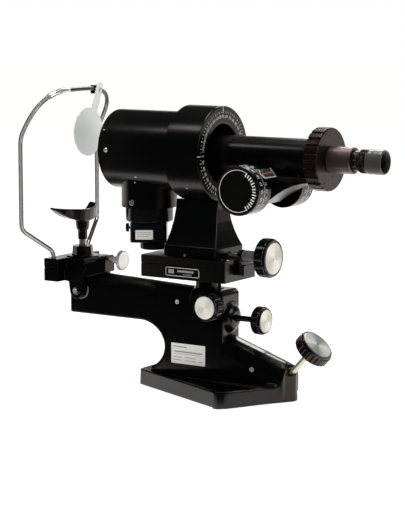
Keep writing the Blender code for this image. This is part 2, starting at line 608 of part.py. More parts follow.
def build_bracket():
    paint = black_paint()
    bracket = box("chin_bracket", (-243, -50, BRACKET_LOW / MM), (-219, 50, BRACKET_TOP / MM), paint)
    lug_round = [(-199.5 + 12 * math.cos(a), 126.5 + 12 * math.sin(a))
                 for a in (math.radians(-180 + 30 * k) for k in range(7))]
    lug = [(x * MM, z * MM) for x, z in lug_round + [(-187.5, 150), (-221, 150), (-221, 139), (-213, 138)]]
    add(bracket,
        box("bracket_centre_tool", (-221, -30, 139), (-187.5, 30, 171), paint),
        box("bracket_ledge_tool", (-220, -33.5, 139.5), (-188.5, 33.5, 154), paint))
    for side, name in ((-1, "left"), (1, "right")):
        low, high = sorted((side * 22.4 * MM, side * 33.0 * MM))
        add(bracket, side_prism("bracket_lug_tool_" + name, lug, low, high, paint))
    cut(bracket,
        arm_tunnel("bracket_seat_tool", 0.35 * MM, paint),
        rod("bracket_stem_tool", (CHIN_X, 0, 130 * MM), (CHIN_X, 0, 180 * MM), 5.9 * MM, paint),
        rod("bracket_pin_tool", (-199.5 * MM, -40 * MM, 126.5 * MM), (-199.5 * MM, 40 * MM, 126.5 * MM),
            4.3 * MM, paint))
    for side, name in ((-1, "left"), (1, "right")):
        y = side * SOCKET_Y
        outer = sorted((side * 36.0, side * 55.0))
        low, high = (SOCKET_X, y, 150 * MM), (SOCKET_X, y, 180 * MM)
        cut(bracket,
            rod("rod_socket_tool_" + name, low, high, ROD_R + GAP, paint),
            box("bracket_slit_tool_" + name, (-245, outer[0], 157.2), (-228, outer[1], 158.8), paint))
    pin_turn = placed(-199.5 * MM, 0, 126.5 * MM, AXIS_Y)
    turned("bracket_pin", [(5, -35.2), (6.5, -33.6), (6.5, -33.4), (4, -33.4), (4, 33.4), (6.5, 33.4),
                           (6.5, 35.2)], silver(), pin_turn)
    rings = []
    for x, half, low, top in LEVER_STEPS:
        corner = min(4.0, half / 3)
        rings.append([(x * MM, y * MM, z * MM) for y, z in
                      ((-half, low), (half, low), (half, top - corner), (half - corner, top),
                       (-half + corner, top), (-half, top - corner))])
    lever = loft("bracket_lever", rings, paint)
    cut(lever, arm_tunnel("lever_seat_tool", 0.35 * MM, paint),
        rod("lever_bore_tool", (-176 * MM, 0, 169.5 * MM), (-140 * MM, 0, 169.5 * MM), 2.6 * MM, paint))
    turned("chin_thumbscrew", [(2.3, -171), (2.3, -157), (5, -157), (5, -146), (14.2, -145.5), (14.2, -141.5),
                               (13.2, -140.7)], silver(), placed(0, 0, 169.5 * MM, AXIS_X))


def build_chin_rest():
    here = placed(CHIN_X, 0, 0)
    turned("chin_nut", [(23, 171.3), (23, 172.6), (15.2, 173), (14.2, 186), (5.9, 186), (5.9, 171.3)],
           black_plastic(), here, hollow=True)
    turned("chin_stem", [(5.5, 128), (5.5, 205), (4.0, 205), (4.0, 213)], steel(), here)
    cup = []
    for k in range(11):
        s = k / 5 - 1
        wall = -199.0 - 23.0 * abs(s) ** 1.9
        bottom = 221.0 + 17.5 * abs(s) ** 2.3
        top = 239.5 + 3.0 * abs(s) ** 2.0
        lip = -229.5 - 4.0 * abs(s) ** 1.5
        outline = ((wall - 3.5, bottom), (wall, bottom + 1.5), (wall + 1.2, top - 1.0), (wall - 0.8, top),
                   (wall - 3.2, top - 0.6), (wall - 5.0, bottom + 4.5), (lip, bottom + 5.0),
                   (lip - 0.8, bottom + 2.5))
        cup.append([(x * MM, 47.0 * s * MM, z * MM) for x, z in outline])
    chin_cup = loft("chin_cup", cup, black_plastic())
    add(chin_cup, turned("cup_socket_tool", [(6.8, 194.5), (6.8, 207), (9.0, 210), (10.5, 223.0)],
                         black_plastic(), here))
    cut(chin_cup,
        turned("cup_bore_tool", [(5.8, 190), (5.8, 205.3), (4.3, 205.3), (4.3, 213.5)], steel(), here))


def headrest_half(side):
    """Points of one half of the headrest rod, from its socket up to the middle of the forehead bar."""
    low_bend = [(SOCKET_X, SOCKET_Y, 151 * MM), (SOCKET_X, SOCKET_Y, 173 * MM),
                (SOCKET_X - 0.6 * MM, SOCKET_Y + 1.4 * MM, 179 * MM),
                (SOCKET_X - 2.6 * MM, SOCKET_Y + 5.5 * MM, 184 * MM),
                (SOCKET_X - 8.0 * MM, SOCKET_Y + 20 * MM, 194.5 * MM),
                (UPRIGHT_X + 2.6 * MM, UPRIGHT_Y - 6.0 * MM, 211.0 * MM),
                (UPRIGHT_X + 0.7 * MM, UPRIGHT_Y - 1.6 * MM, 216.0 * MM),
                (UPRIGHT_X, UPRIGHT_Y, 223 * MM),
                (UPRIGHT_X, UPRIGHT_Y, 342.5 * MM)]
    points = [Vector((x, y * side, z)) for x, y, z in low_bend]
    for k in range(1, 14):
        early, late = (k / 13) ** 1.5, (1 - k / 13) ** 1.5
        angle = math.pi / 2 * early / (early + late)
        reach = math.sin(angle) ** 0.62
        across = math.cos(angle) ** 0.62 if k < 13 else 0.0
        points.append(Vector((UPRIGHT_X + 37.4 * MM * reach, UPRIGHT_Y * across * side,
                              342.5 * MM + 64.2 * MM * reach)))
    return points


def build_headrest():
    left, right = headrest_half(-1), headrest_half(1)
    sweep("headrest_frame", left + list(reversed(right[:-1])), ROD_R, chrome())
    sweep("headrest_sleeve", left[15:20], ROD_R + 1.6 * MM, chrome(), inner=ROD_R + GAP)
    clamp = box("occluder_clamp", (-221.5, 34, 398.5), (-210.4, 44, 410.5), black_plastic())
    cut(clamp, sweep("clamp_rod_tool", right[12:], ROD_R + GAP, steel()))
    pivot = placed(0, OCCLUDER_Y, OCCLUDER_Z, AXIS_X)
    disc_centre = Vector((10.5 * MM, 346.4 * MM))
    arc = []
    for k in range(25):
        angle = math.radians(51.8 - 336 * k / 24)
        spoke = Vector((math.cos(angle), math.sin(angle))) * OCCLUDER_R
        arc.append(tuple(disc_centre + spoke))
    tab = [(OCCLUDER_Y - 5.5 * MM, OCCLUDER_Z + 6 * MM), (OCCLUDER_Y, OCCLUDER_Z + 11 * MM),
           (OCCLUDER_Y + 5.5 * MM, OCCLUDER_Z + 6 * MM)]
    outline = tab + arc
    rings = [[(x, y, z) for y, z in outline] for x in (OCCLUDER_X - 0.9 * MM, OCCLUDER_X + 0.9 * MM)]
    paddle = loft("occluder", rings, white_plastic())
    cut(paddle, turned("paddle_bore_tool", [(2.2, -230), (2.2, -200)], steel(), pivot))


# ---------------------------------------------------------------- bodies

# Each body's name, the body that carries it, a point on its joint's axis in metres, and its pieces.
BODIES = [
    ("base_body", None, (0, 0, 0),
     ["base_casting", "foot_pad_left", "foot_pad_right", "foot_pad_front", "bore_cover", "column_bush",
      "chin_bracket", "bracket_pin", "bracket_lever", "headrest_frame", "headrest_sleeve", "occluder_clamp"]),
    ("elevation_body", "base_body", (PINION_X, 0, PINION_Z),
     ["elevation_pinion", "elevation_knob", "elevation_knob_inlay"]),
    ("lock_body", "base_body", (0, 0, LOCK_Z), ["lock_screw", "lock_knob", "lock_knob_inlay"]),
    ("foot_screw_body", "base_body", FOOT_SCREW_TOP, ["foot_screw", "foot_knob", "foot_knob_inlay"]),
    ("chin_rest_body", "base_body", (CHIN_X, 0, 0), ["chin_stem", "chin_cup"]),
    ("chin_nut_body", "base_body", (CHIN_X, 0, 0), ["chin_nut"]),
    ("chin_thumbscrew_body", "base_body", (0, 0, 167 * MM), ["chin_thumbscrew"]),
    ("occluder_body", "base_body", (OCCLUDER_X, OCCLUDER_Y, OCCLUDER_Z), ["occluder"]),
    ("post_body", "base_body", (0, 0, 0), ["post_tube", "post_rack"]),
    ("stage_body", "post_body", (0, 0, STAGE_LOW), ["stage_base", "stage_top", "focus_bearing"]),
    ("focus_screw_body", "stage_body", (0, 0, FOCUS_Z), ["focus_screw", "focus_knob", "focus_knob_inlay"]),
    ("saddle_body", "stage_body", (0, 0, STAGE_TOP), ["pedestal", "axis_ring"]),
    ("optical_head_body", "saddle_body", (0, 0, AXIS_Z),
     ["head_shell", "front_cover", "mire_plate", "objective_lens", "diagonal_mirror", "lamp_collar",
      "lamp_barrel", "condenser_lens", "lamp_holder", "lamp_cap", "bulb", "telescope_tube", "drum_housing",
      "grip_disc", "eyepiece_sleeve", "index_plate"]),
    ("lamp_thumbscrew_body", "optical_head_body", (LAMP_X, 0, 219 * MM), ["lamp_thumbscrew"]),
    ("left_drum_body", "optical_head_body", (DRUM_X, 0, DRUM_Z), ["power_drum_left"]),
    ("right_drum_body", "optical_head_body", (DRUM_X, 0, DRUM_Z), ["power_drum_right"]),
    ("left_prism_body", "optical_head_body", (DRUM_X, 0, DRUM_Z), ["prism_carriage_left"]),
    ("right_prism_body", "optical_head_body", (DRUM_X, 0, DRUM_Z), ["prism_carriage_right"]),
    ("eyepiece_body", "optical_head_body", (0, 0, AXIS_Z), ["eyepiece_barrel", "eye_lens", "eyecup"]),
]


def join_bodies():
    """Parents the pieces of each body to an empty on its joint's axis, and the empties to each other."""
    origins = {}
    for name, carrier, point, pieces in BODIES:
        origins[name] = Vector(point)
        empty = bpy.data.objects.new(name, None)
        empty.empty_display_size = 0.02
        empty.location = origins[name]
        bpy.context.scene.collection.objects.link(empty)
        if carrier:
            empty.parent = bpy.data.objects[carrier]
            empty.matrix_parent_inverse = Matrix.Translation(-origins[carrier])
        for piece in pieces:
            obj = bpy.data.objects[piece]
            obj.parent = empty
            obj.matrix_parent_inverse = Matrix.Translation(-origins[name])


def build():
    clear_scene()
    build_base()
    build_elevation_drive()
    build_clamp_screws()
    build_post()
    build_stage()
    build_saddle()
    build_head_shell()
    build_lamp()
    build_telescope()
    build_eyepiece()
    build_drums()
    build_bracket()
    build_chin_rest()
    build_headrest()
    join_bodies()


build()
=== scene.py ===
import json
import math

import bmesh
import bpy
from mathutils import Matrix, Vector


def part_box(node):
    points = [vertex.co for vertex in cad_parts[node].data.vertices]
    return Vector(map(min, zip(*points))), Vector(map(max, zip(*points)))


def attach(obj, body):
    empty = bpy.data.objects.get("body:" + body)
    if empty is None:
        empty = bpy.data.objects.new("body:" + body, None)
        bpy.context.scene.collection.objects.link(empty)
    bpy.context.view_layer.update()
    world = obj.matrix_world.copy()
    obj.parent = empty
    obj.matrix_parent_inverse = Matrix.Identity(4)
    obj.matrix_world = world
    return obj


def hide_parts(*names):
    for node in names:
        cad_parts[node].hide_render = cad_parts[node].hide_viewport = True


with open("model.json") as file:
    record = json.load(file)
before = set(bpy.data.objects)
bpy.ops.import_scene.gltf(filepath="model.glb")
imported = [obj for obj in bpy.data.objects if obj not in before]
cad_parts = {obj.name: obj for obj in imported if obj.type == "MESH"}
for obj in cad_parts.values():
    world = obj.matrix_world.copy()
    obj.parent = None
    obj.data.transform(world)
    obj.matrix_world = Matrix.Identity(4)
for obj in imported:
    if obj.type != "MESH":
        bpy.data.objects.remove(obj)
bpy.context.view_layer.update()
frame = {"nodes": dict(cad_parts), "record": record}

MM = 0.001
NODES = frame["nodes"]
BODY_OF = {node: body for body, nodes in frame["record"]["behaviour"]["bodies"].items() for node in nodes}

AXIS_Z = 326.8            # optical axis height, mm
LAMP_X = -97.0
DRUM_X, DRUM_Z = 90.0, 286.5
CHIN_X = -212.0
PIN_X, PIN_Z = -199.5, 126.5             # the bracket's pivot pin
LOCK_Z, FOCUS_Z = 105.9, 191.2           # the axes of the clamp and focus screws
FOOT_X, FOOT_Z = 170.3, 82.4             # the centre of the foot knob's face
FOOT_AXIS = (0.676, 0.0, 0.737)
RING_FACE = 22.84                        # where marks lie on the axis ring
DRUM_FACE, DRUM_RIM = 72.12, 32.32       # where marks lie on a power drum
BEAD = 4.2                               # the width of a hand knob's front bead
CAMERA_PLACE, CAMERA_AIM = (1.3389, -2.0871, 0.5388), (-0.53733, 0.83139, -0.14165)
TO_X = Matrix.Rotation(math.radians(90), 4, "Y")         # local +Z becomes world +X
TO_MINUS_X = Matrix.Rotation(math.radians(-90), 4, "Y")
TO_Y = Matrix.Rotation(math.radians(-90), 4, "X")        # local +Z becomes world +Y
TO_MINUS_Y = Matrix.Rotation(math.radians(90), 4, "X")
UP = Matrix.Identity(4)


def at(x, y, z, turn=UP):
    """A placement at a point in millimetres."""
    return Matrix.Translation((x * MM, y * MM, z * MM)) @ turn


HOLDER = at(LAMP_X, 0, 0, Matrix.Rotation(math.radians(30), 4, "Z"))     # the square lamp holder is turned


# ---------------------------------------------------------------- materials

class Finish:
    """A Principled material whose nodes read object coordinates, which are metres in the part's frame."""

    def __init__(self, name, colour, roughness, metallic=0.0, **sockets):
        self.material = bpy.data.materials.new(name)
        self.material.use_nodes = True
        self.tree = self.material.node_tree
        self.shader = self.tree.nodes["Principled BSDF"]
        self.colour = colour
        self.shader.inputs["Base Color"].default_value = (*colour, 1.0)
        self.shader.inputs["Roughness"].default_value = roughness
        self.shader.inputs["Metallic"].default_value = metallic
        for key, value in sockets.items():
            self.shader.inputs[key.replace("_", " ")].default_value = value
        self.coords = self.node("ShaderNodeTexCoord").outputs["Object"]
        self.normal = None

    def node(self, kind, **values):
        node = self.tree.nodes.new(kind)
        for key, value in values.items():
            setattr(node, key, value)
        return node

    def link(self, source, target):
        self.tree.links.new(source, target)

    def noise(self, scale, detail=3.0, stretch=(1, 1, 1), roughness=0.5):
        mapping = self.node("ShaderNodeMapping")
        mapping.inputs["Scale"].default_value = stretch
        self.link(self.coords, mapping.inputs["Vector"])
        noise = self.node("ShaderNodeTexNoise")
        noise.inputs["Scale"].default_value = scale
        noise.inputs["Detail"].default_value = detail
        noise.inputs["Roughness"].default_value = roughness
        self.link(mapping.outputs["Vector"], noise.inputs["Vector"])
        return noise.outputs["Fac"]

    def span(self, source, low, high, start=0.3, end=0.7):
        """Maps a value from start..end to low..high, clamped."""
        span = self.node("ShaderNodeMapRange")
        for key, value in (("From Min", start), ("From Max", end), ("To Min", low), ("To Max", high)):
            span.inputs[key].default_value = value
        self.link(source, span.inputs["Value"])
        return span.outputs["Result"]

    def product(self, first, second):
        node = self.node("ShaderNodeMath", operation="MULTIPLY")
        self.link(first, node.inputs[0])
        self.link(second, node.inputs[1])
        return node.outputs[0]

    def rough(self, source, low, high, start=0.3, end=0.7):
        self.link(self.span(source, low, high, start, end), self.shader.inputs["Roughness"])
        return self

    def tint(self, source, other):
        """Mixes the colour so far with another one, by source."""
        mix = self.node("ShaderNodeMix", data_type="RGBA")
        current = self.shader.inputs["Base Color"]
        if current.links:
            self.link(current.links[0].from_socket, mix.inputs[6])
        else:
            mix.inputs[6].default_value = (*self.colour, 1.0)
        mix.inputs[7].default_value = (*other, 1.0)
        self.link(source, mix.inputs[0])
        self.link(mix.outputs[2], current)
        return self

    def bump(self, source, distance, strength=1.0):
        """Adds a bump, whose distance is in metres, to those already there."""
        bump = self.node("ShaderNodeBump")
        bump.inputs["Distance"].default_value = distance
        bump.inputs["Strength"].default_value = strength
        self.link(source, bump.inputs["Height"])
        if self.normal:
            self.link(self.normal, bump.inputs["Normal"])
        self.normal = bump.outputs["Normal"]
        self.link(self.normal, self.shader.inputs["Normal"])
        return self

    def edges(self, low=0.52, high=0.6, amount=1.0):
        """A mask of convex edges, broken up by noise: for worn paint and for a painted edge highlight."""
        pointed = self.node("ShaderNodeNewGeometry").outputs["Pointiness"]
        return self.product(self.span(pointed, 0.0, amount, low, high),
                            self.span(self.noise(700, 4), 0.2, 1.0))


def radius_waves(finish, scale):
    """Fine rings about local Z, as a lathe leaves them: noise along the radius."""
    split = finish.node("ShaderNodeSeparateXYZ")
    finish.link(finish.coords, split.inputs[0])
    squares = []
    for axis in (0, 1):
        square = finish.node("ShaderNodeMath", operation="MULTIPLY")
        finish.link(split.outputs[axis], square.inputs[0])
        finish.link(split.outputs[axis], square.inputs[1])
        squares.append(square.outputs[0])
    total = finish.node("ShaderNodeMath", operation="ADD")
    finish.link(squares[0], total.inputs[0])
    finish.link(squares[1], total.inputs[1])
    root = finish.node("ShaderNodeMath", operation="SQRT")
    finish.link(total.outputs[0], root.inputs[0])
    rings = finish.node("ShaderNodeTexNoise", noise_dimensions="1D")
    rings.inputs["Scale"].default_value = scale
    rings.inputs["Detail"].default_value = 4.0
    finish.link(root.outputs[0], rings.inputs["W"])
    return rings.outputs["Fac"]


def painted_fans(finish):
    """A painted highlight and painted shade: crossed light and dark fans, as a turned face reflects light,
    0 to 1, twice round local Z.
    """
    split = finish.node("ShaderNodeSeparateXYZ")
    finish.link(finish.coords, split.inputs[0])
    angle = finish.node("ShaderNodeMath", operation="ARCTAN2")
    finish.link(split.outputs[1], angle.inputs[0])
    finish.link(split.outputs[0], angle.inputs[1])
    twice = finish.node("ShaderNodeMath", operation="MULTIPLY_ADD")
    finish.link(angle.outputs[0], twice.inputs[0])
    twice.inputs[1].default_value = 2.0
    twice.inputs[2].default_value = 0.6
    wave = finish.node("ShaderNodeMath", operation="SINE")
    finish.link(twice.outputs[0], wave.inputs[0])
    return finish.span(wave.outputs[0], 0.0, 1.0, -0.6, 0.9)


def turned_tangent(finish):
    """Stretches highlights round local Z, as on a turned face."""
    tangent = finish.node("ShaderNodeTangent", direction_type="RADIAL", axis="Z")
    finish.link(tangent.outputs["Tangent"], finish.shader.inputs["Tangent"])


WARM = (1.0, 0.86, 0.82, 1.0)        # the brown cast of reflections in the black finishes


def black_finishes(made):
    paint = Finish("baked_black_paint", (0.0012, 0.0016, 0.0017), 0.24, Specular_Tint=WARM,
                   Specular_IOR_Level=0.42)
    paint.rough(paint.noise(40, 3), 0.21, 0.26)
    paint.tint(paint.span(paint.noise(25, 3), 0.0, 0.4), (0.0022, 0.0023, 0.0023))
    # Convex edges lighter: partly worn paint, partly a painted highlight along the edges.
    paint.tint(paint.edges(0.58, 0.68, 0.3), (0.05, 0.046, 0.043))
    paint.bump(paint.noise(900, 3), 0.00001, 0.35)
    made["paint"] = paint
    smooth = Finish("satin_black_paint", (0.0012, 0.0016, 0.0017), 0.26, Specular_Tint=WARM,
                    Specular_IOR_Level=0.42)
    smooth.rough(smooth.noise(30, 3), 0.23, 0.27)
    smooth.tint(smooth.span(smooth.noise(25, 3), 0, 0.4), (0.0022, 0.0023, 0.0023))
    # Convex edges lighter: partly worn paint, partly a painted highlight along the edges.
    smooth.tint(smooth.edges(0.58, 0.68, 0.3), (0.05, 0.046, 0.043))
    smooth.bump(smooth.noise(700, 3), 0.00001, 0.25)
    made["satin"] = smooth
    anodised = Finish("black_anodised", (0.004, 0.0039, 0.0039), 0.22, 0.1, Specular_Tint=WARM)
    anodised.rough(anodised.noise(60, 3), 0.19, 0.26).bump(anodised.noise(900, 3), 0.00001, 0.2)
    made["anodised"] = anodised
    disc = Finish("brown_black_anodised", (0.0065, 0.0042, 0.0038), 0.27, 0.1,
                  Specular_Tint=(1.0, 0.74, 0.7, 1.0))
    disc.rough(disc.noise(60, 3), 0.24, 0.3).bump(disc.noise(900, 3), 0.00001, 0.2)
    made["disc"] = disc
    gloss = Finish("gloss_black", (0.005, 0.005, 0.0052), 0.1, Specular_IOR_Level=0.6)
    gloss.rough(gloss.noise(90, 5), 0.07, 0.14)
    made["gloss"] = gloss
    plastic = Finish("moulded_black", (0.003, 0.003, 0.003), 0.22, Specular_Tint=WARM)
    plastic.rough(plastic.noise(90, 5), 0.17, 0.28).bump(plastic.noise(900, 3), 0.00001, 0.2)
    made["plastic"] = plastic


def rubber_finishes(made):
    rubber = Finish("black_rubber", (0.016, 0.016, 0.016), 0.62, Specular_IOR_Level=0.4)
    rubber.rough(rubber.noise(500, 4), 0.5, 0.75).bump(rubber.noise(1500, 3), 0.00003, 0.4)
    made["rubber"] = rubber
    cup = Finish("moulded_eyecup", (0.05, 0.043, 0.039), 0.36, Specular_IOR_Level=0.6)
    cup.rough(cup.noise(90, 4), 0.3, 0.42).tint(cup.span(cup.noise(60, 4), 0, 0.5), (0.06, 0.054, 0.05))
    made["eyecup"] = cup


def metal_finishes(made):
    # Three copies of one turned silver: the second is painted lighter and the third painted darker, as
    # painted light and shade for the knobs that wear them.
    for name, colour, painted_fan_shade, metallic in (("silver", (0.8, 0.79, 0.69), (0.58, 0.57, 0.49), 0.6),
                                          ("silver_painted_lit", (0.88, 0.87, 0.79), (0.64, 0.63, 0.56), 0.12),
                                          ("silver_painted_dark", (0.66, 0.66, 0.6), (0.07, 0.08, 0.085), 0.85)):
        silver = Finish("turned_" + name, colour, 0.3, metallic, Anisotropic=0.8)
        rings = radius_waves(silver, 3500)
        # The fans are painted highlight and shade: the darker colour is crossed twice round the face.
        silver.rough(rings, 0.26, 0.4).tint(silver.span(painted_fans(silver), 0, 0.8, 0.0, 1.0), painted_fan_shade)
        silver.bump(rings, 0.000004, 0.3)
        turned_tangent(silver)
        made[name] = silver
    bright = Finish("bright_nickel", (0.8, 0.79, 0.75), 0.2, 0.7)
    bright.rough(bright.noise(200, 4), 0.14, 0.28)
    bright.tint(bright.span(bright.noise(120, 3), 0, 0.4), (0.66, 0.64, 0.6))
    made["bright"] = bright
    steel = Finish("ground_steel", (0.5, 0.49, 0.48), 0.25, 0.8)
    steel.rough(steel.noise(300, 3, (1, 1, 0.1)), 0.2, 0.34)
    steel.tint(steel.span(steel.noise(80, 3), 0, 0.4), (0.38, 0.37, 0.36))
    made["steel"] = steel
    chrome = Finish("polished_chrome", (0.8, 0.8, 0.79), 0.14, 0.6)
    chrome.rough(chrome.noise(60, 4), 0.1, 0.18)
    chrome.tint(chrome.span(chrome.noise(45, 4), 0, 0.3), (0.68, 0.66, 0.63))
    # A painted reflection: the base colour turns dark towards the rods' outlines, standing in for the dark
    # surroundings they reflect.
    rim = chrome.node("ShaderNodeLayerWeight")
    rim.inputs["Blend"].default_value = 0.5
    chrome.tint(chrome.span(rim.outputs["Facing"], 0.0, 0.97, 0.1, 0.32), (0.02, 0.019, 0.018))
    made["chrome"] = chrome
    zinc = Finish("yellow_zinc", (0.7, 0.66, 0.5), 0.26, 0.7)
    zinc.rough(zinc.noise(150, 3), 0.2, 0.34)
    zinc.tint(zinc.span(zinc.noise(160, 3), 0, 0.5), (0.52, 0.48, 0.34))
    made["zinc"] = zinc
    brown = Finish("violet_brown_anodised", (0.16, 0.115, 0.125), 0.36, 0.8)
    brown.rough(brown.noise(20, 2), 0.34, 0.4)
    brown.tint(brown.span(brown.noise(30, 2), 0, 0.4), (0.14, 0.1, 0.108))
    made["brown"] = brown


def coating_finishes(made):
    occluder = Finish("pale_enamel", (0.93, 0.96, 0.93), 0.32)
    occluder.rough(occluder.noise(300, 4), 0.25, 0.42)
    occluder.tint(occluder.span(occluder.noise(70, 4), 0, 0.35), (0.88, 0.91, 0.87))
    occluder.bump(occluder.noise(1100, 2), 0.00001, 0.4)
    made["enamel"] = occluder
    ink = Finish("white_ink", (0.82, 0.82, 0.79), 0.45)
    ink.tint(ink.span(ink.noise(900, 3), 0, 0.4), (0.66, 0.65, 0.61))
    made["ink"] = ink
    orange = Finish("orange_line", (0.85, 0.24, 0.04), 0.4)
    orange.rough(orange.noise(600), 0.35, 0.5)
    made["orange"] = orange
    grey = Finish("grey_ink", (0.22, 0.22, 0.21), 0.5)
    grey.tint(grey.span(grey.noise(900, 3), 0, 0.5), (0.34, 0.34, 0.32))
    made["grey_ink"] = grey
    label = Finish("label_foil", (0.84, 0.83, 0.79), 0.42, 0.1)
    label.rough(label.noise(500, 3), 0.34, 0.5)
    label.tint(label.span(label.noise(90, 4), 0, 0.4), (0.78, 0.76, 0.71))
    made["label"] = label


def clear_finishes(made):
    clear = Finish("clear_acrylic", (0.97, 0.98, 0.98), 0.04, Transmission_Weight=1.0, IOR=1.49)
    clear.rough(clear.noise(200, 3), 0.02, 0.08)
    made["clear"] = clear
    frost = Finish("scuffed_acrylic", (0.93, 0.95, 0.96), 0.08, Transmission_Weight=0.96, IOR=1.3)
    frost.rough(frost.noise(200, 4), 0.05, 0.14)
    made["frost"] = frost
    coated = Finish("coated_glass", (0.5, 0.55, 0.62), 0.03, Transmission_Weight=0.85, IOR=1.6)
    coated.rough(coated.noise(200, 3), 0.02, 0.06)
    made["coated"] = coated
    opal = Finish("opal_mire", (0.74, 0.78, 0.74), 0.3)
    opal.rough(opal.noise(300, 3), 0.25, 0.38)
    made["opal"] = opal


def make_materials():
    made = {}
    for group in (black_finishes, rubber_finishes, metal_finishes, coating_finishes, clear_finishes):
        group(made)
    return {name: finish.material for name, finish in made.items()}


MAT = make_materials()


# ---------------------------------------------------------------- building blocks

def new_object(name, mesh, material, matrix=UP, sharp=32.0, weighted=True):
    """An object with one material. Weighted normals keep the big faces flat beside their small bevels."""
    mesh.materials.clear()
    mesh.materials.append(MAT[material])
    mesh.shade_smooth()
    mesh.set_sharp_from_angle(angle=math.radians(sharp))
    obj = bpy.data.objects.new(name, mesh)
    bpy.context.scene.collection.objects.link(obj)
    obj.matrix_world = matrix
    if weighted:
        obj.modifiers.new("flat_faces", "WEIGHTED_NORMAL").keep_sharp = True
    return obj


def mesh_from(name, verts, faces):
    bm = bmesh.new()
    made = [bm.verts.new(v) for v in verts]
    for face in faces:
        bm.faces.new([made[i] for i in face])
    bmesh.ops.recalc_face_normals(bm, faces=bm.faces)
    mesh = bpy.data.meshes.new(name)
    bm.to_mesh(mesh)
    bm.free()
    return mesh


def stand_for(obj, *nodes):
    """obj takes the place of CAD nodes of one body, and their finish."""
    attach(obj, BODY_OF[nodes[0]])
    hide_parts(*nodes)
    return obj


def rides(obj, body):
    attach(obj, body)
    return obj


def smooth_profile(profile, bevel=0.4):
    """Replaces each corner of a closed (radius, height) profile with three points of a small round."""
    points = [Vector(p) for p in profile]
    out = []
    for i, point in enumerate(points):
        back, ahead = points[i - 1] - point, points[(i + 1) % len(points)] - point
        reach = min(bevel, back.length * 0.4, ahead.length * 0.4)
        if reach < 0.02:
            out.append(point)
            continue
        a, b = point + back.normalized() * reach, point + ahead.normalized() * reach
        middle = (a + b) / 2
        out += [a, middle + (point - middle) * 0.45, b]
    return out


def lathe(name, profile, material, matrix=UP, segments=96, bevel=0.4, shape=None):
    """Turns a closed (radius, height) outline in millimetres about local Z.
    shape(angle, radius, height) may change a point's radius, for flutes and flats."""
    outline = smooth_profile(profile, bevel) if bevel else [Vector(p) for p in profile]
    count = len(outline)
    verts, faces = [], []
    for s in range(segments):
        angle = 2 * math.pi * s / segments
        for radius, height in outline:
            r = shape(angle, radius, height) if shape else radius
            verts.append((r * math.cos(angle) * MM, r * math.sin(angle) * MM, height * MM))
    for s in range(segments):
        t = (s + 1) % segments
        for i in range(count):
            j = (i + 1) % count
            faces.append((s * count + i, t * count + i, t * count + j, s * count + j))
    return new_object(name, mesh_from(name, verts, faces), material, matrix)


def disc_profile(radius, low, high, hole=0.0):
    return [(radius, low), (radius, high), (max(hole, 0.05), high), (max(hole, 0.05), low)]


def slab(name, outline, low, high, material, matrix=UP, bevel=0.3):
    """A plate between two heights along local Z, from an outline in millimetres, with its edges broken."""
    bm = bmesh.new()
    loop = [bm.verts.new((x * MM, y * MM, low * MM)) for x, y in outline]
    face = bm.faces.new(loop)
    lifted = bmesh.ops.extrude_face_region(bm, geom=[face])["geom"]
    bmesh.ops.translate(bm, verts=[g for g in lifted if isinstance(g, bmesh.types.BMVert)],
                        vec=(0, 0, (high - low) * MM))
    bmesh.ops.recalc_face_normals(bm, faces=bm.faces)
    if bevel:
        edges = [e for e in bm.edges if e.calc_face_angle(0) > math.radians(28)]
        bmesh.ops.bevel(bm, geom=edges, offset=bevel * MM, segments=2, affect="EDGES", clamp_overlap=True)
    mesh = bpy.data.meshes.new(name)
    bm.to_mesh(mesh)
    bm.free()
    return new_object(name, mesh, material, matrix)


def block(name, low, high, material, bevel=0.5):
    (x0, y0, z0), (x1, y1, z1) = low, high
    return slab(name, [(x0, y0), (x1, y0), (x1, y1), (x0, y1)], z0, z1, material, UP, bevel)


def round_box(width, height, radius, steps=4):
    """Corner points of a rounded rectangle centred on the origin."""
    points = []
    for cx, cy, start in ((1, 1, 0), (-1, 1, 90), (-1, -1, 180), (1, -1, 270)):
        for k in range(steps + 1):
            a = math.radians(start + 90 * k / steps)
            points.append((cx * (width / 2 - radius) + radius * math.cos(a),
                           cy * (height / 2 - radius) + radius * math.sin(a)))
    return points


def evaluated_mesh(obj):
    bpy.context.view_layer.update()
    graph = bpy.context.evaluated_depsgraph_get()
    return bpy.data.meshes.new_from_object(obj.evaluated_get(graph), depsgraph=graph)


def cast_over(name, body, voxel, passes, material, keep):
    """A cast form: the body's outline with its edges and inner corners softened."""
    remesh = body.modifiers.new("voxels", "REMESH")
    remesh.mode = "VOXEL"
    remesh.voxel_size = voxel * MM
    soften = body.modifiers.new("soften", "SMOOTH")
    soften.factor = 0.5
    soften.iterations = passes
    thin = body.modifiers.new("thin", "DECIMATE")
    thin.ratio = keep
    mesh = evaluated_mesh(body)
    bpy.data.objects.remove(body)
    return new_object(name, mesh, material, UP, 60.0, False)


def cad_copy(node):
    """A loose copy of a CAD node's mesh, to build a piece from."""
    mesh = NODES[node].data.copy()
    obj = bpy.data.objects.new("copy_" + node, mesh)
    bpy.context.scene.collection.objects.link(obj)
    return obj


def casting(node, voxel, passes, material, keep):
    return stand_for(cast_over("cast_" + node, cad_copy(node), voxel, passes, material, keep), node)


def round_off(obj, inside, passes):
    """Softens the part of a casting for which inside(point) holds."""
    bm = bmesh.new()
    bm.from_mesh(obj.data)
    chosen = [v for v in bm.verts if inside(v.co)]
    for _ in range(passes):
        bmesh.ops.smooth_vert(bm, verts=chosen, factor=0.5, use_axis_x=True, use_axis_y=True,
                              use_axis_z=True)
    bm.to_mesh(obj.data)
    bm.free()


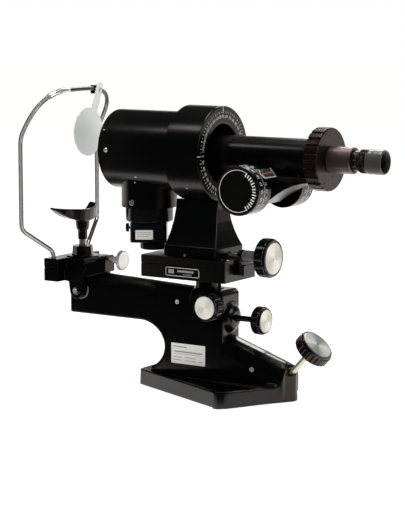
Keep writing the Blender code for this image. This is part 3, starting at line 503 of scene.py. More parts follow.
def machined(node, material, bevel=0.6, segments=3, angle=30.0):
    """A CAD node with its edges broken."""
    obj = cad_copy(node)
    bm = bmesh.new()
    bm.from_mesh(obj.data)
    bpy.data.objects.remove(obj)
    bmesh.ops.remove_doubles(bm, verts=bm.verts, dist=1e-5)
    bmesh.ops.dissolve_limit(bm, angle_limit=math.radians(2), verts=bm.verts, edges=bm.edges)
    edges = [e for e in bm.edges if len(e.link_faces) == 2 and e.calc_face_angle(0) > math.radians(angle)]
    bmesh.ops.bevel(bm, geom=edges, offset=bevel * MM, segments=segments, affect="EDGES",
                    clamp_overlap=True)
    mesh = bpy.data.meshes.new("fine_" + node)
    bm.to_mesh(mesh)
    bm.free()
    return stand_for(new_object("fine_" + node, mesh, material, UP, 40.0), node)


def tube_along(name, path, radius, material, sides):
    """A round bar along points in metres."""
    verts, faces = [], []
    side = None
    for i, point in enumerate(path):
        ahead = (path[min(i + 1, len(path) - 1)] - path[max(i - 1, 0)]).normalized()
        if side is None:
            side = ahead.orthogonal().normalized()
        else:
            side = (side - ahead * side.dot(ahead)).normalized()
        across = ahead.cross(side)
        r = radius(i / (len(path) - 1)) if callable(radius) else radius
        for k in range(sides):
            a = 2 * math.pi * k / sides
            verts.append(point + (side * math.cos(a) + across * math.sin(a)) * r * MM)
    for i in range(len(path) - 1):
        for k in range(sides):
            n = (k + 1) % sides
            faces.append((i * sides + k, i * sides + n, (i + 1) * sides + n, (i + 1) * sides + k))
    faces.append(tuple(range(sides)))
    faces.append(tuple((len(path) - 1) * sides + k for k in range(sides)))
    return new_object(name, mesh_from(name, verts, faces), material)


GLYPHS = {}


def glyph_mesh(text, size):
    """The thin solid mesh of a numeral, centred on the origin, in millimetres high."""
    key = (text, size)
    if key not in GLYPHS:
        curve = bpy.data.curves.new("glyph", "FONT")
        curve.body = text
        curve.size = size * MM * 1.4
        curve.align_x = "CENTER"
        curve.align_y = "CENTER"
        curve.extrude = 0.04 * MM
        obj = bpy.data.objects.new("glyph", curve)
        bpy.context.scene.collection.objects.link(obj)
        GLYPHS[key] = evaluated_mesh(obj)
        bpy.data.objects.remove(obj)
    return GLYPHS[key]


def bar_mesh(width, length, height=0.08):
    """A thin flat bar centred on the origin, in millimetres."""
    key = ("bar", width, length, height)
    if key not in GLYPHS:
        bm = bmesh.new()
        bmesh.ops.create_cube(bm, size=1.0)
        bmesh.ops.scale(bm, verts=bm.verts, vec=(width * MM, length * MM, height * MM))
        GLYPHS[key] = bpy.data.meshes.new("bar")
        bm.to_mesh(GLYPHS[key])
        bm.free()
    return GLYPHS[key]


def marking(name, items, body, material="ink"):
    """One object from (mesh, matrix) pairs: painted or engraved marks."""
    bm = bmesh.new()
    for mesh, matrix in items:
        copy = mesh.copy()
        copy.transform(matrix)
        bm.from_mesh(copy)
        bpy.data.meshes.remove(copy)
    mesh = bpy.data.meshes.new(name)
    bm.to_mesh(mesh)
    bm.free()
    return rides(new_object(name, mesh, material), body)


def on_face(matrix, angle, radius, height):
    """A placement on a flat face: at an angle round local Z, standing on its radius."""
    return matrix @ Matrix.Rotation(angle, 4, "Z") @ Matrix.Translation((0, radius * MM, height * MM))


def on_rim(matrix, angle, radius, height):
    """A placement on a cylinder's side: local Z of the mark points out, its Y along the axis."""
    return (matrix @ Matrix.Rotation(angle, 4, "Z") @ Matrix.Translation((radius * MM, 0, height * MM))
            @ Matrix.Rotation(math.radians(90), 4, "Y") @ Matrix.Rotation(math.radians(90), 4, "Z"))


def screw(name, point, direction, radius, body, material="bright", kind="slot", proud=0.9):
    """A small screw head on a surface, with its slot or socket."""
    turn = Vector(direction).to_track_quat("Z", "Y").to_matrix().to_4x4()
    profile = [(radius, -0.4), (radius, proud * 0.45), (radius * 0.72, proud * 0.9), (0.05, proud),
               (0.05, -0.4)]
    head = lathe(name, profile, material, UP, 32, 0.15)
    if kind == "slot":
        tool = block("tool", (-radius * 1.2, -radius * 0.14, proud * 0.35),
                     (radius * 1.2, radius * 0.14, proud * 2), material, 0)
    else:
        tool = lathe("tool", disc_profile(radius * 0.5, proud * 0.1, proud * 2), material, UP, 6, 0)
    cut = head.modifiers.new("cut", "BOOLEAN")
    cut.solver = "EXACT"
    cut.object = tool
    mesh = evaluated_mesh(head)
    bpy.data.objects.remove(head)
    bpy.data.objects.remove(tool)
    return rides(new_object(name, mesh, material, at(*point) @ turn, 25.0), body)


# ---------------------------------------------------------------- castings

def build_castings():
    base = casting("base_casting", 1.3, 8, "paint", 0.7)
    round_off(base, lambda p: 0.092 < p.x < 0.150 and abs(p.y) < 0.026 and p.z > 0.048, 60)
    casting("pedestal", 1.0, 6, "paint", 0.8)
    casting("chin_bracket", 0.7, 4, "satin", 0.9)
    casting("bracket_lever", 0.7, 4, "satin", 0.9)
    machined("stage_base", "paint", 0.5)
    machined("stage_top", "paint", 0.5)
    machined("focus_bearing", "paint", 0.4)
    machined("occluder_clamp", "plastic", 0.8)
    machined("lamp_holder", "gloss", 0.9, 3, 40.0)
    machined("post_tube", "anodised", 0.3, 2, 40.0)
    casting("chin_cup", 0.8, 5, "plastic", 0.5)


# ---------------------------------------------------------------- knobs

def knob_shape(count, outer, depth):
    """Broad facets round a knob with a narrow groove between each two. Only the outer wall is cut."""
    pitch = 2 * math.pi / count

    def shape(angle, radius, height):
        if radius < outer - 1.2:
            return radius
        local = (angle % pitch) / pitch - 0.5
        edge = max(0.0, (abs(local) - 0.36) / 0.14)
        return radius - depth * edge ** 0.7
    return shape


def hand_knob(node, face, axis, outer, inlay, thickness, hub, count, finish="silver"):
    """A black knob with broad facets, a plain front bead and a turned silver face."""
    matrix = at(*face) @ Vector(axis).to_track_quat("Z", "Y").to_matrix().to_4x4()
    low = -thickness
    profile = [(9.0, low - hub), (9.0, low), (outer - 2.2, low), (outer, low + 2.0), (outer, -BEAD),
               (outer - 1.3, -BEAD + 0.5), (outer - 1.3, -2.0), (outer - 2.0, -0.5), (inlay + 0.4, -0.5),
               (inlay + 0.4, -2.0), (0.8, -2.0), (0.8, low - hub)]
    body = lathe("fine_" + node, profile, "plastic", matrix, count * 10, 0.35,
                 knob_shape(count, outer, 1.1))
    stand_for(body, node)
    plate = [(inlay, -1.7), (inlay, -0.35), (inlay - 0.6, 0.0), (2.2, 0.0), (1.2, -0.5), (0.05, -0.6),
             (0.05, -1.7)]
    stand_for(lathe("fine_" + node + "_inlay", plate, finish, matrix, 96, 0.1), node + "_inlay")


def build_knobs():
    # The elevation knob's face wears the silver painted lighter, and the foot knob's face the silver
    # painted darker: painted light and shade.
    hand_knob("elevation_knob", (22.5, -46.0, 123.8), (0, -1, 0), 19.0, 15.3, 19.0, 2.8, 20, "silver_painted_lit")
    hand_knob("lock_knob", (91.6, 0.0, LOCK_Z), (1, 0, 0), 19.0, 15.5, 15.5, 2.0, 20)
    hand_knob("foot_knob", (FOOT_X, 0.0, FOOT_Z), FOOT_AXIS, 25.5, 21.5, 17.0, 4.0, 24, "silver_painted_dark")
    hand_knob("focus_knob", (103.1, 0.0, FOCUS_Z), (1, 0, 0), 26.4, 21.4, 18.0, 8.5, 24)
    stand_for(lathe("fine_lock_screw", disc_profile(4.0, 18.4, 73.3), "anodised", at(0, 0, LOCK_Z, TO_X),
                    48), "lock_screw")
    turn = Vector(FOOT_AXIS).to_track_quat("Z", "Y").to_matrix().to_4x4()
    thread = disc_profile(4.0, -78.0, -21.4)
    stand_for(lathe("fine_foot_screw", thread, "zinc", at(FOOT_X, 0, FOOT_Z) @ turn, 48), "foot_screw")
    rod = [(2.5, -24.0), (2.5, 56.8), (8.0, 56.8), (8.0, 76.3), (0.05, 76.3), (0.05, -24.0)]
    stand_for(lathe("fine_focus_screw", rod, "steel", at(0, 0, FOCUS_Z, TO_X), 48), "focus_screw")


# ---------------------------------------------------------------- axis ring and head

def build_ring():
    here = at(0, 0, AXIS_Z, TO_X)
    profile = [(63.9, -30.5), (63.9, 21.6), (62.7, 22.8), (41.0, 22.8), (39.9, 21.6), (39.9, 15.0),
               (46.2, 15.0), (46.2, -30.5)]
    stand_for(lathe("fine_axis_ring", profile, "paint", here, 192, 0.5), "axis_ring")
    marks = []
    for degree in range(0, 360, 5):
        long = degree % 10 == 0
        marks.append((bar_mesh(0.9 if long else 0.6, 3.4 if long else 2.0),
                      on_face(here, math.radians(degree), 55.6, RING_FACE)))
        if long:
            text = str(degree % 180)
            marks.append((glyph_mesh(text, 4.2), on_face(here, math.radians(degree), 49.6, RING_FACE)))
    for degree in (90, 180, 0):
        marks.append((bar_mesh(1.3, 6.6), on_face(here, math.radians(degree), 60.4, RING_FACE)))
    marking("axis_scale", marks, "saddle")


def build_head():
    here = at(0, 0, AXIS_Z, TO_X)
    down = at(LAMP_X, 0, 0)
    shell = lathe("fine_head_shell", [(54.4, -142.0), (54.4, -31.0), (45.7, -31.0), (45.7, 14.5),
                                      (42, 14.5), (42, -27.5),
                                (25.8, -27.5), (25.8, -34), (51, -34), (51, -142.0)], "paint", here, 160, 0)
    collar = lathe("fine_lamp_collar", [(38.6, 248.9), (38.6, 292), (33.6, 292), (33.6, 248.9)], "paint",
                   down, 128, 0.4)
    stand_for(shell, "head_shell")
    stand_for(collar, "lamp_collar")
    cover = lathe("fine_front_cover", [(54.4, -145.2), (54.4, -142.3), (38.3, -142.3), (38.3, -145.2)],
                  "anodised", here, 160)
    stand_for(cover, "front_cover")
    mask = lathe("fine_mire_plate", [(38, -144.6), (38, -142.6), (12, -142.6), (12, -144.6)], "gloss",
                 here, 96, 0.1)
    stand_for(mask, "mire_plate")
    front = at(-144.6, 0, AXIS_Z, TO_MINUS_X)
    ring = lathe("mire_ring", [(26.4, 0.0), (26.4, 0.12), (23.8, 0.12), (23.8, 0.0)], "opal", front, 96, 0)
    rides(ring, "optical_head")
    signs = []
    for k in range(4):
        base = on_face(front, math.radians(90 * k), 31.8, 0.06)
        signs.append((bar_mesh(1.3, 6.0, 0.12), base))
        if k % 2:
            signs.append((bar_mesh(6.0, 1.3, 0.12), base))
    marking("mire_signs", signs, "optical_head", "opal")
    lens = [(11.7, -141.5), (11.7, -144.0), (11.2, -145.0), (6, -145.9), (0.05, -146.0), (0.05, -140),
            (6, -139.8)]
    stand_for(lathe("fine_objective_lens", lens, "coated", here, 64, 0.1), "objective_lens")
    tilt = at(LAMP_X, 0, AXIS_Z) @ Matrix.Rotation(math.radians(45), 4, "Y")
    mirror = lathe("fine_diagonal_mirror", [(44, -1), (44, 1), (18, 1), (18, -1)], "chrome", tilt, 96, 0.2)
    stand_for(mirror, "diagonal_mirror")


def build_lamp():
    down = at(LAMP_X, 0, 0)
    barrel = [(30, 228.5), (32.2, 229.2), (33, 231.5), (33, 262), (28.5, 262), (28.5, 234), (15, 234),
              (15, 228.5)]
    stand_for(lathe("fine_lamp_barrel", barrel, "gloss", down, 128, 0.3), "lamp_barrel")
    cap = [(17, 190.3), (18.5, 191.5), (18.5, 200.6), (3, 200.6), (3, 190.3)]
    stand_for(lathe("fine_lamp_cap", cap, "gloss", at(LAMP_X + 6.5, 0, 0), 96, 0.3), "lamp_cap")
    stand_for(lathe("fine_condenser_lens",
                    [(27.8, 252), (28.2, 253), (28.2, 256), (12, 259.5), (0.05, 260), (0.05, 252)],
                    "clear", down, 64, 0.1), "condenser_lens")
    stand_for(lathe("fine_bulb", [(7, 208), (9, 209), (9, 226), (5, 229), (9, 238), (9, 244), (4, 249),
                                  (0.05, 249.5), (0.05, 208)],
                    "clear", down, 48, 0.5), "bulb")
    knurl = knob_shape(16, 6.0, 0.35)
    thumb = [(1.8, 25.7), (1.8, 28.3), (6, 28.3), (6, 32.0), (5, 32.8), (0.05, 32.8), (0.05, 25.7)]
    outward = HOLDER @ at(0, 0, 219, TO_MINUS_X)
    stand_for(lathe("fine_lamp_thumbscrew", thumb, "plastic", outward, 160, 0.3, knurl), "lamp_thumbscrew")


# ---------------------------------------------------------------- telescope

def build_telescope():
    here = at(0, 0, AXIS_Z, TO_X)
    tube = lathe("fine_telescope_tube", [(25.5, -33.5), (25.5, 168.9), (22.5, 168.9), (22.5, -33.5)],
                 "satin", here, 128)
    stand_for(tube, "telescope_tube")
    machined("drum_housing", "satin", 0.6, 3, 25.0)
    disc = [(41.4, 169.2), (41.4, 186.8), (40, 188.2), (10, 188.2), (10, 169.2)]
    stand_for(lathe("fine_grip_disc", disc, "disc", here, 288, 0.5, knob_shape(24, 41.4, 1.6)), "grip_disc")
    sleeve = [(17.3, 188.5), (17.3, 221.5), (16.3, 222.5), (14.3, 222.5), (14.3, 188.5)]
    stand_for(lathe("fine_eyepiece_sleeve", sleeve, "brown", here, 96), "eyepiece_sleeve")


def build_eyepiece():
    here = at(0, 0, AXIS_Z, TO_X)
    barrel = [(13.5, 196), (13.5, 231.6), (14.8, 232.4), (15.4, 233.4), (15.4, 240.5), (13.5, 241.5),
              (13.5, 246), (10.5, 246), (10.5, 196)]

    def knurl(angle, radius, height):
        return radius - 0.45 * (0.5 + 0.5 * math.cos(angle * 60)) if radius > 15.0 else radius
    stand_for(lathe("fine_eyepiece_barrel", barrel, "anodised", here, 480, 0.3, knurl), "eyepiece_barrel")
    cup = [(13.8, 243), (15.6, 243.4), (16, 246), (15.7, 250), (16, 254), (16, 263.5), (15.6, 265.6),
           (14.5, 266.6), (13.4, 266),
           (11.5, 261), (11.5, 246.3), (13.8, 246.3)]
    stand_for(lathe("fine_eyecup", cup, "eyecup", here, 96, 0.6), "eyecup")
    lens = [(9.0, 238), (10.2, 239.5), (10.2, 242.5), (9, 243.4), (5, 244), (0.05, 244), (0.05, 238)]
    stand_for(lathe("fine_eye_lens", lens, "coated", here, 64, 0.2), "eye_lens")
    marks = []
    for k in range(-8, 9):
        long = k % 4 == 0
        marks.append((bar_mesh(0.35, 1.8 if long else 1.0, 0.08),
                      on_rim(here, math.radians(-135 + 9 * k), 13.54, 229.4)))
        if long:
            marks.append((glyph_mesh(str(abs(k) // 2), 1.5),
                          on_rim(here, math.radians(-135 + 9 * k), 13.54, 227.0)))
    marking("diopter_scale", marks, "eyepiece", "grey_ink")


def build_drums():
    for side, name, body in ((-1, "left", "left_drum"), (1, "right", "right_drum")):
        turn = TO_MINUS_Y if side < 0 else TO_Y
        here = at(DRUM_X, 0, DRUM_Z, turn)
        profile = [(4, 3), (4, 66), (28.5, 66), (28.5, 41.3), (32.3, 41.3), (32.3, 71.2), (31, 72.5),
                   (29.6, 72.5), (29.4, 72.1),
                   (0.05, 72.1), (0.05, 3)]
        stand_for(lathe("fine_power_drum_" + name, profile, "anodised", here, 128, 0.3),
                  "power_drum_" + name)
        band = [(32.28, 56.3), (32.36, 56.3), (32.36, 56.8), (32.28, 56.8)]
        rides(lathe("dial_band_" + name, band, "ink", here, 96, 0), body)
        marks = []
        for k in range(80):
            angle = math.radians(4.5 * k)
            if k % 4:
                marks.append((bar_mesh(0.35, 1.6), on_rim(here, angle, DRUM_RIM, 58.0)))
            else:
                marks.append((bar_mesh(0.5, 2.6), on_rim(here, angle, DRUM_RIM, 58.4)))
                marks.append((glyph_mesh(str(36 + k // 4), 4.4),
                              on_rim(here, angle, DRUM_RIM + 0.02, 63.4)))
                marks.append((glyph_mesh(str(93 - k // 2)[:2], 3.8),
                              on_rim(here, angle, DRUM_RIM + 0.02, 51.6)))
        for k in range(60):
            angle = math.radians(side * (92 + 4 * (k - 29.5)))
            marks.append((bar_mesh(2.0, 0.75), on_face(here, -angle, 27.4, DRUM_FACE)))
        for k in range(15):
            angle = math.radians(side * (90 + 8.4 * (k - 7)))
            marks.append((bar_mesh(1.5, 6.0 if k % 2 == 0 else 4.6), on_face(here, angle, 25.4, DRUM_FACE)))
        marking("drum_scale_" + name, marks, body)


def build_index():
    """The clear pointer over the left drum's rim, with its hairline and a painted highlight along its
    edges.
    """
    tilt = at(DRUM_X, -26.8, DRUM_Z) @ Matrix.Rotation(math.radians(50), 4, "Y")
    outline = [(-7.0, -29.0), (0.0, -33.0), (7.0, -29.0), (7.0, 0.0), (-7.0, 0.0)]
    stand_for(slab("fine_index_plate", outline, 33.2, 35.0, "frost", tilt, 0.35), "index_plate")
    # Pale bars along the plate's edges: a painted highlight, where the clear plate's edges catch the light.
    rim = []
    for (ax, ay), (bx, by) in zip(outline[:4], outline[1:]):
        bar = bar_mesh(math.hypot(bx - ax, by - ay), 1.1, 0.12)
        turn = Matrix.Rotation(math.atan2(by - ay, bx - ax), 4, "Z")
        rim.append((bar, tilt @ at((ax + bx) * 0.48, (ay + by) * 0.49, 35.04, turn)))
    marking("index_painted_edge_glint", rim, "optical_head", "label")
    line = bar_mesh(0.7, 30.0, 0.1)
    marking("index_line", [(line, tilt @ at(0, -16.5, 35.06))], "optical_head", "orange")


# ---------------------------------------------------------------- headrest

def headrest_path(side):
    upright_x, upright_y, socket = -251.3, 89.0, (-233.5, 40.0)
    corners = [Vector((socket[0], socket[1], 151)), Vector((socket[0], socket[1], 180)),
               Vector((upright_x, upright_y, 214)),
               Vector((upright_x, upright_y, 230))]
    path = [corners[0]]
    for i, radius in ((1, 9.0), (2, 9.0)):
        back, ahead = (corners[i - 1] - corners[i]).normalized(), (corners[i + 1] - corners[i]).normalized()
        a, b = corners[i] + back * radius, corners[i] + ahead * radius
        for k in range(9):
            t = k / 8
            path.append(a * (1 - t) ** 2 + corners[i] * 2 * t * (1 - t) + b * t * t)
    path += [Vector((upright_x, upright_y, 230 + 4.5 * k)) for k in range(26)]
    straight = len(path) - 8
    for k in range(1, 41):
        early, late = (k / 40) ** 1.5, (1 - k / 40) ** 1.5
        angle = math.pi / 2 * early / (early + late)
        reach, across = math.sin(angle) ** 0.62, (math.cos(angle) ** 0.62 if k < 40 else 0.0)
        path.append(Vector((upright_x + 37.4 * reach, upright_y * across, 342.5 + 64.2 * reach)))
    for _ in range(6):
        for i in range(straight, straight + 12):
            path[i] = path[i - 1] * 0.25 + path[i] * 0.5 + path[i + 1] * 0.25
    return [Vector((p.x, p.y * side, p.z)) * MM for p in path]


def build_headrest():
    left, right = headrest_path(-1), headrest_path(1)
    stand_for(tube_along("fine_headrest_frame", left + list(reversed(right[:-1])), 3.0, "chrome", 24),
              "headrest_frame")
    low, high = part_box("headrest_sleeve")
    part = [p for p in left if low.y - 0.001 < p.y < high.y - 0.002 and p.z > 0.38]

    def swell(t):
        return 4.6 - 1.1 * max(0.0, abs(t - 0.5) * 2 - 0.8) / 0.2
    stand_for(tube_along("fine_headrest_sleeve", part, swell, "bright", 24), "headrest_sleeve")


def build_occluder():
    cy, cz, py, pz = 10.5, 346.4, 39.0, 404.2
    outline = []
    for k in range(65):
        angle = math.radians(51.8 - 336 * k / 64)
        outline.append((cy + 34 * math.cos(angle), cz + 34 * math.sin(angle)))
    tab = []
    for k in range(13):
        angle = math.radians(150 - 172 * k / 12)
        tab.append((py + 6.6 * math.cos(angle), pz + 4.4 + 6.6 * math.sin(angle)))
    # Local x is world y and local y is world z, so the slab's height runs along world x.
    turn = Matrix(((0, 0, 1, 0), (1, 0, 0, 0), (0, 1, 0, 0), (0, 0, 0, 1)))
    paddle = slab("fine_occluder", tab + outline, -209.4, -207.6, "enamel", turn, 0.35)
    stand_for(paddle, "occluder")
    screw("occluder_screw", (-207.6, py, pz), (1, 0, 0), 3.4, "occluder", "bright", "slot", 1.6)


def build_chin_rest():
    here = at(CHIN_X, 0, 0)

    def facets(angle, radius, height):
        """Eight flats round the nut's tapered body."""
        if not 14 < radius < 16:
            return radius
        pitch = math.pi / 4
        return radius * math.cos(pitch / 2) / math.cos(angle % pitch - pitch / 2)
    nut = [(23, 171.3), (23, 172.6), (15.8, 172.9), (15.2, 173.6), (14.2, 186), (5.9, 186), (5.9, 171.3)]
    stand_for(lathe("fine_chin_nut", nut, "plastic", here, 240, 0.3, facets), "chin_nut")
    stem = [(5.5, 128), (5.5, 205), (4, 205), (4, 213), (0.05, 213), (0.05, 128)]
    stand_for(lathe("fine_chin_stem", stem, "steel", here, 48), "chin_stem")
    thumb = [(2.3, -171), (2.3, -157), (5, -157), (5, -146), (14.2, -145.5), (14.2, -141.5),
             (13.2, -140.7), (11.2, -140.7),
             (10.8, -140.9), (0.05, -140.9), (0.05, -171)]
    stand_for(lathe("fine_chin_thumbscrew", thumb, "bright", at(0, 0, 169.5, TO_X), 300, 0.2,
                    knob_shape(30, 14.2, 0.4)),
              "chin_thumbscrew")
    pin = [(5, -35.2), (6.5, -33.6), (6.5, -33.4), (4, -33.4), (4, 33.4), (6.5, 33.4), (6.5, 35.2),
           (0.05, 35.2), (0.05, -35.2)]
    stand_for(lathe("fine_bracket_pin", pin, "anodised", at(PIN_X, 0, PIN_Z, TO_Y), 48, 0.2), "bracket_pin")
    screw("pin_screw", (PIN_X, -35.0, PIN_Z), (0.2, -1, 0.1), 4.2, BODY_OF["bracket_pin"], "zinc")
    washer = lathe("pin_washer", disc_profile(13.2, 22.05, 22.4, 4.5), "bright",
                   at(PIN_X, 0, PIN_Z, TO_MINUS_Y), 64, 0.1)
    rides(washer, BODY_OF["bracket_pin"])


# ---------------------------------------------------------------- small fittings

def framed_plate(name, here, width, height, body, plate, border):
    """A blank plate with a raised border."""
    rides(slab(name, round_box(width, height, 1.6), 0.0, 0.45, plate, here, 0.12), body)
    frame_bars = [(bar_mesh(width - 3.6, 0.55, 0.1),
                   here @ at(0, s * (height / 2 - 1.0), 0.47)) for s in (-1, 1)]
    frame_bars += [(bar_mesh(0.55, height - 3.6, 0.1),
                    here @ at(s * (width / 2 - 1.0), 0, 0.47)) for s in (-1, 1)]
    marking(name + "_border", frame_bars, body, border)


def ruled_plate(name, here, width, height, rows, body):
    """A pale plate with plain ruled bars. Each row is a bar: its place, its width and its height."""
    rides(slab(name, round_box(width, height, 0.8), 0.0, 0.4, "label", here, 0.1), body)
    marking(name + "_bars", [(bar_mesh(w, h, 0.06), here @ at(x, y, 0.42)) for x, y, w, h in rows], body,
            "grey_ink")


def build_fittings():
    stage_plate = at(-16.2, -40.0, 168.0, TO_MINUS_Y)
    framed_plate("stage_plate", stage_plate, 55.0, 13.0, "stage", "gloss", "ink")
    blocks = [(bar_mesh(9.0, 5.6, 0.06), stage_plate @ at(-18.0, 0.3, 0.48)),
              (bar_mesh(26.0, 2.8, 0.06), stage_plate @ at(5.0, 1.2, 0.48)),
              (bar_mesh(15.0, 0.8, 0.06), stage_plate @ at(8.0, -2.8, 0.48))]
    marking("stage_plate_blocks", blocks, "stage", "grey_ink")
    bars = [(-13, 9.4, 22, 1.4), (0, 2.6, 46, 1.8), (0, -0.4, 46, 0.5), (-17, -5.0, 14, 0.8),
            (4, -5.0, 18, 0.8), (-17, -9.0, 14, 0.8), (4, -9.0, 18, 0.8), (20, -9.0, 8, 0.8)]
    ruled_plate("base_plate", at(-18.9, -22.0, 52.6, TO_MINUS_Y), 55.0, 28.0, bars, "base")
    bars = [(0, 3.6, 20, 0.7), (0, 0.6, 20, 0.7), (-2, -2.4, 16, 0.7)]
    ruled_plate("lamp_plate", HOLDER @ at(-5.5, -25.4, 212.0, TO_MINUS_Y), 24.0, 13.0, bars,
                "optical_head")
    # Each row: name, body, place, the way it faces, radius, tool form and how far it stands out.
    rows = [("base_screw_front", "base", (-36.9, -22.0, 123.8), (0, -1, 0), 3.2, "slot", 0.9),
            ("base_screw_rear", "base", (82.3, -21.9, 42.7), (0, -1, 0), 3.6, "slot", 0.9),
            ("housing_screw", "optical_head", (154.0, -26.0, 307.0), (0, -1, 0), 2.0, "hex", 0.6),
            ("head_screw", "optical_head", (-131.2, -54.4, 328.5), (0, -1, 0.03), 3.0, "slot", 2.6),
            ("head_pin", "optical_head", (-139.6, -46.5, 355.0), (0, -0.855, 0.518), 1.1, "hex", 0.5),
            ("shell_screw", "optical_head", (-90.5, -42.4, 292.7), (0, -0.78, -0.626), 1.5, "hex", 0.7),
            ("collar_screw", "optical_head", (-94.8, -38.4, 285.0), (0.06, -1, 0), 1.3, "hex", 0.6),
            ("collar_bolt", "optical_head", (-99.8, -38.4, 256.9), (-0.07, -1, 0), 4.0, "hex", 1.6),
            ("ring_screw", "saddle", (-5.1, -46.3, 282.7), (0, -0.725, -0.69), 1.5, "hex", 0.5),
            ("disc_screw_a", "optical_head", (188.2, -18.9, 296.9), (1, 0, 0), 1.6, "hex", 0.5),
            ("disc_screw_b", "optical_head", (188.2, 3.6, 304.4), (1, 0, 0), 1.6, "hex", 0.5),
            ("disc_screw_c", "optical_head", (188.2, 22.6, 296.9), (1, 0, 0), 1.6, "hex", 0.5),
            ("stage_screw_a", "stage", (35.7, -23.1, 187.4), (0, 0, 1), 1.8, "hex", 0.2),
            ("stage_screw_b", "stage", (47.0, -26.3, 187.4), (0, 0, 1), 1.8, "hex", 0.8),
            ("flange_screw", "saddle", (-15.0, -36.4, 190.6), (0, -1, 0), 1.6, "hex", 0.5),
            ("bracket_screw_left", "base", (-236.4, -50.0, 165.0), (0, -1, 0), 2.0, "hex", 0.3),
            ("bracket_screw_right", "base", (-236.4, 50.0, 165.0), (0, 1, 0), 2.0, "hex", 0.3),
            ("lever_screw", "base", (-187.0, -29.0, 157.4), (0, -1, 0), 2.2, "slot", 0.8)]
    dark = ("bracket_screw_left", "bracket_screw_right", "disc_screw_a", "disc_screw_b", "disc_screw_c",
            "lever_screw", "housing_screw")
    for name, body, place, direction, radius, kind, proud in rows:
        finish = "anodised" if name in dark else "steel" if name == "collar_bolt" else "bright"
        screw(name, place, direction, radius, body, finish, kind, proud)


def dress_rest():
    """The CAD nodes that keep their own shape get their materials."""
    own = {"foot_pad_left": "rubber", "foot_pad_right": "rubber", "foot_pad_front": "rubber",
           "bore_cover": "rubber",
           "column_bush": "plastic", "elevation_pinion": "steel", "post_rack": "steel",
           "prism_carriage_left": "clear", "prism_carriage_right": "clear"}
    for node, material in own.items():
        mesh = NODES[node].data
        mesh.materials.clear()
        mesh.materials.append(MAT[material])


# ---------------------------------------------------------------- stage, light and camera

def emitter(name, place, target, width, height, power, colour=(1, 1, 1), glossy=True):
    light = bpy.data.lights.new(name, "AREA")
    light.shape = "RECTANGLE"
    light.size, light.size_y = width, height
    light.energy = power
    light.color = colour
    obj = bpy.data.objects.new(name, light)
    bpy.context.scene.collection.objects.link(obj)
    obj.location = place
    obj.rotation_mode = "QUATERNION"
    obj.rotation_quaternion = (Vector(target) - Vector(place)).to_track_quat("-Z", "Y")
    obj.visible_camera = False
    obj.visible_glossy = glossy


def flag(name, corners, material="card"):
    """A card that only reflections see."""
    card = new_object(name, mesh_from(name, [Vector(c) for c in corners], [(0, 1, 2, 3)]), material)
    card.visible_camera = card.visible_diffuse = card.visible_shadow = card.visible_transmission = False


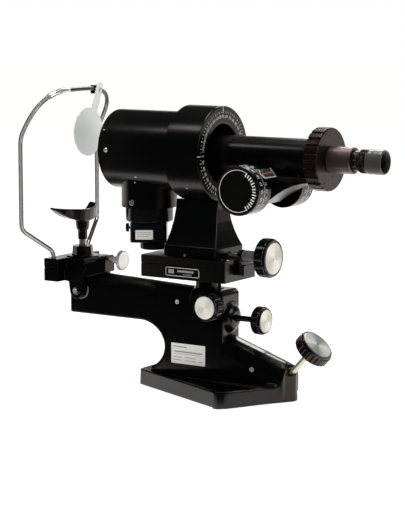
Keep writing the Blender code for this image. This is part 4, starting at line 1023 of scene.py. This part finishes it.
def build_studio():
    """A white table, black cards in front and a white one behind, and soft boxes."""
    scene = bpy.context.scene
    scene.view_settings.view_transform = "Standard"
    world = bpy.data.worlds.new("studio")
    world.use_nodes = True
    scene.world = world
    tree = world.node_tree
    room = tree.nodes["Background"]
    room.inputs["Color"].default_value = (1.0, 0.985, 0.96, 1.0)
    room.inputs["Strength"].default_value = 0.02
    paper = tree.nodes.new("ShaderNodeBackground")
    paper.inputs["Color"].default_value = (1.0, 1.0, 1.0, 1.0)
    paper.inputs["Strength"].default_value = 1.0
    seen = tree.nodes.new("ShaderNodeLightPath")
    mix = tree.nodes.new("ShaderNodeMixShader")
    tree.links.new(seen.outputs["Is Camera Ray"], mix.inputs[0])
    tree.links.new(room.outputs[0], mix.inputs[1])
    tree.links.new(paper.outputs[0], mix.inputs[2])
    tree.links.new(mix.outputs[0], tree.nodes["World Output"].inputs["Surface"])
    table = Finish("studio_floor", (0.4, 0.4, 0.4), 0.8, Emission_Color=(1.0, 0.99, 0.98, 1.0),
                   Emission_Strength=1.0)
    table.tint(table.span(table.noise(3, 2), 0, 0.4), (0.39, 0.39, 0.39))
    MAT["floor"] = table.material
    card = Finish("black_card", (0.004, 0.004, 0.004), 0.9, Specular_IOR_Level=0.0)
    card.rough(card.noise(20, 2), 0.85, 0.95)
    MAT["card"] = card.material
    white = Finish("white_card", (0.4, 0.4, 0.4), 0.9, Emission_Color=(1.0, 0.99, 0.98, 1.0),
                   Emission_Strength=0.9)
    white.rough(white.noise(20, 2), 0.85, 0.95)
    MAT["white_card"] = white.material
    turn = Matrix.Rotation(math.atan2(0.543, 0.84), 4, "Z")
    outline = [(-9000, -720), (9000, -720), (9000, 14000), (-9000, 14000)]
    slab("studio_floor", outline, -20.0, 0.0, "floor", turn, 0)
    flag("flag_front", [(-1.1, -0.34, 0.001), (0.5, -0.34, 0.001), (0.5, -0.34, 0.8), (-1.1, -0.34, 0.8)])
    flag("flag_table", [(-0.7, -0.34, 0.002), (0.45, -0.34, 0.002), (0.45, -0.14, 0.002),
                        (-0.7, -0.14, 0.002)])
    flag("wall_behind", [(-3.0, 2.6, 0.0), (0.5, 2.6, 0.0), (0.5, 2.6, 1.2), (-3.0, 2.6, 1.2)],
         "white_card")
    target = (0.0, 0.0, 0.25)
    emitter("box_ridge", (-0.39, 1.17, 1.35), target, 0.45, 0.45, 8.0)
    emitter("box_tube", (-0.54, -0.43, 1.17), (0.03, 0.0, 0.34), 0.14, 0.14, 0.45)
    emitter("box_sleeve", (-0.4, -0.43, 1.17), (0.2, 0.0, 0.34), 0.16, 0.14, 0.1)
    emitter("box_top", (0.02, 0.12, 1.5), target, 0.7, 0.5, 12.0)
    emitter("box_back", (0.35, 1.7, 1.25), target, 1.0, 0.7, 3.0)
    emitter("box_right", (1.7, 0.5, 0.8), target, 0.8, 0.8, 8.0)
    emitter("fill_front", (0.1, -2.3, 1.3), target, 1.6, 1.2, 30.0, (1.0, 0.99, 0.96), False)


def build_camera():
    camera = bpy.data.cameras.new("camera")
    camera.lens = 128.91
    camera.sensor_width = 36.0
    camera.sensor_fit = "AUTO"
    camera.clip_start, camera.clip_end = 0.05, 50.0
    obj = bpy.data.objects.new("camera", camera)
    bpy.context.scene.collection.objects.link(obj)
    obj.location = CAMERA_PLACE
    obj.rotation_mode = "QUATERNION"
    obj.rotation_quaternion = Vector(CAMERA_AIM).to_track_quat("-Z", "Y")
    bpy.context.scene.camera = obj


build_castings()
build_knobs()
build_ring()
build_head()
build_lamp()
build_telescope()
build_eyepiece()
build_drums()
build_index()
build_headrest()
build_occluder()
build_chin_rest()
build_fittings()
dress_rest()
build_studio()
build_camera()
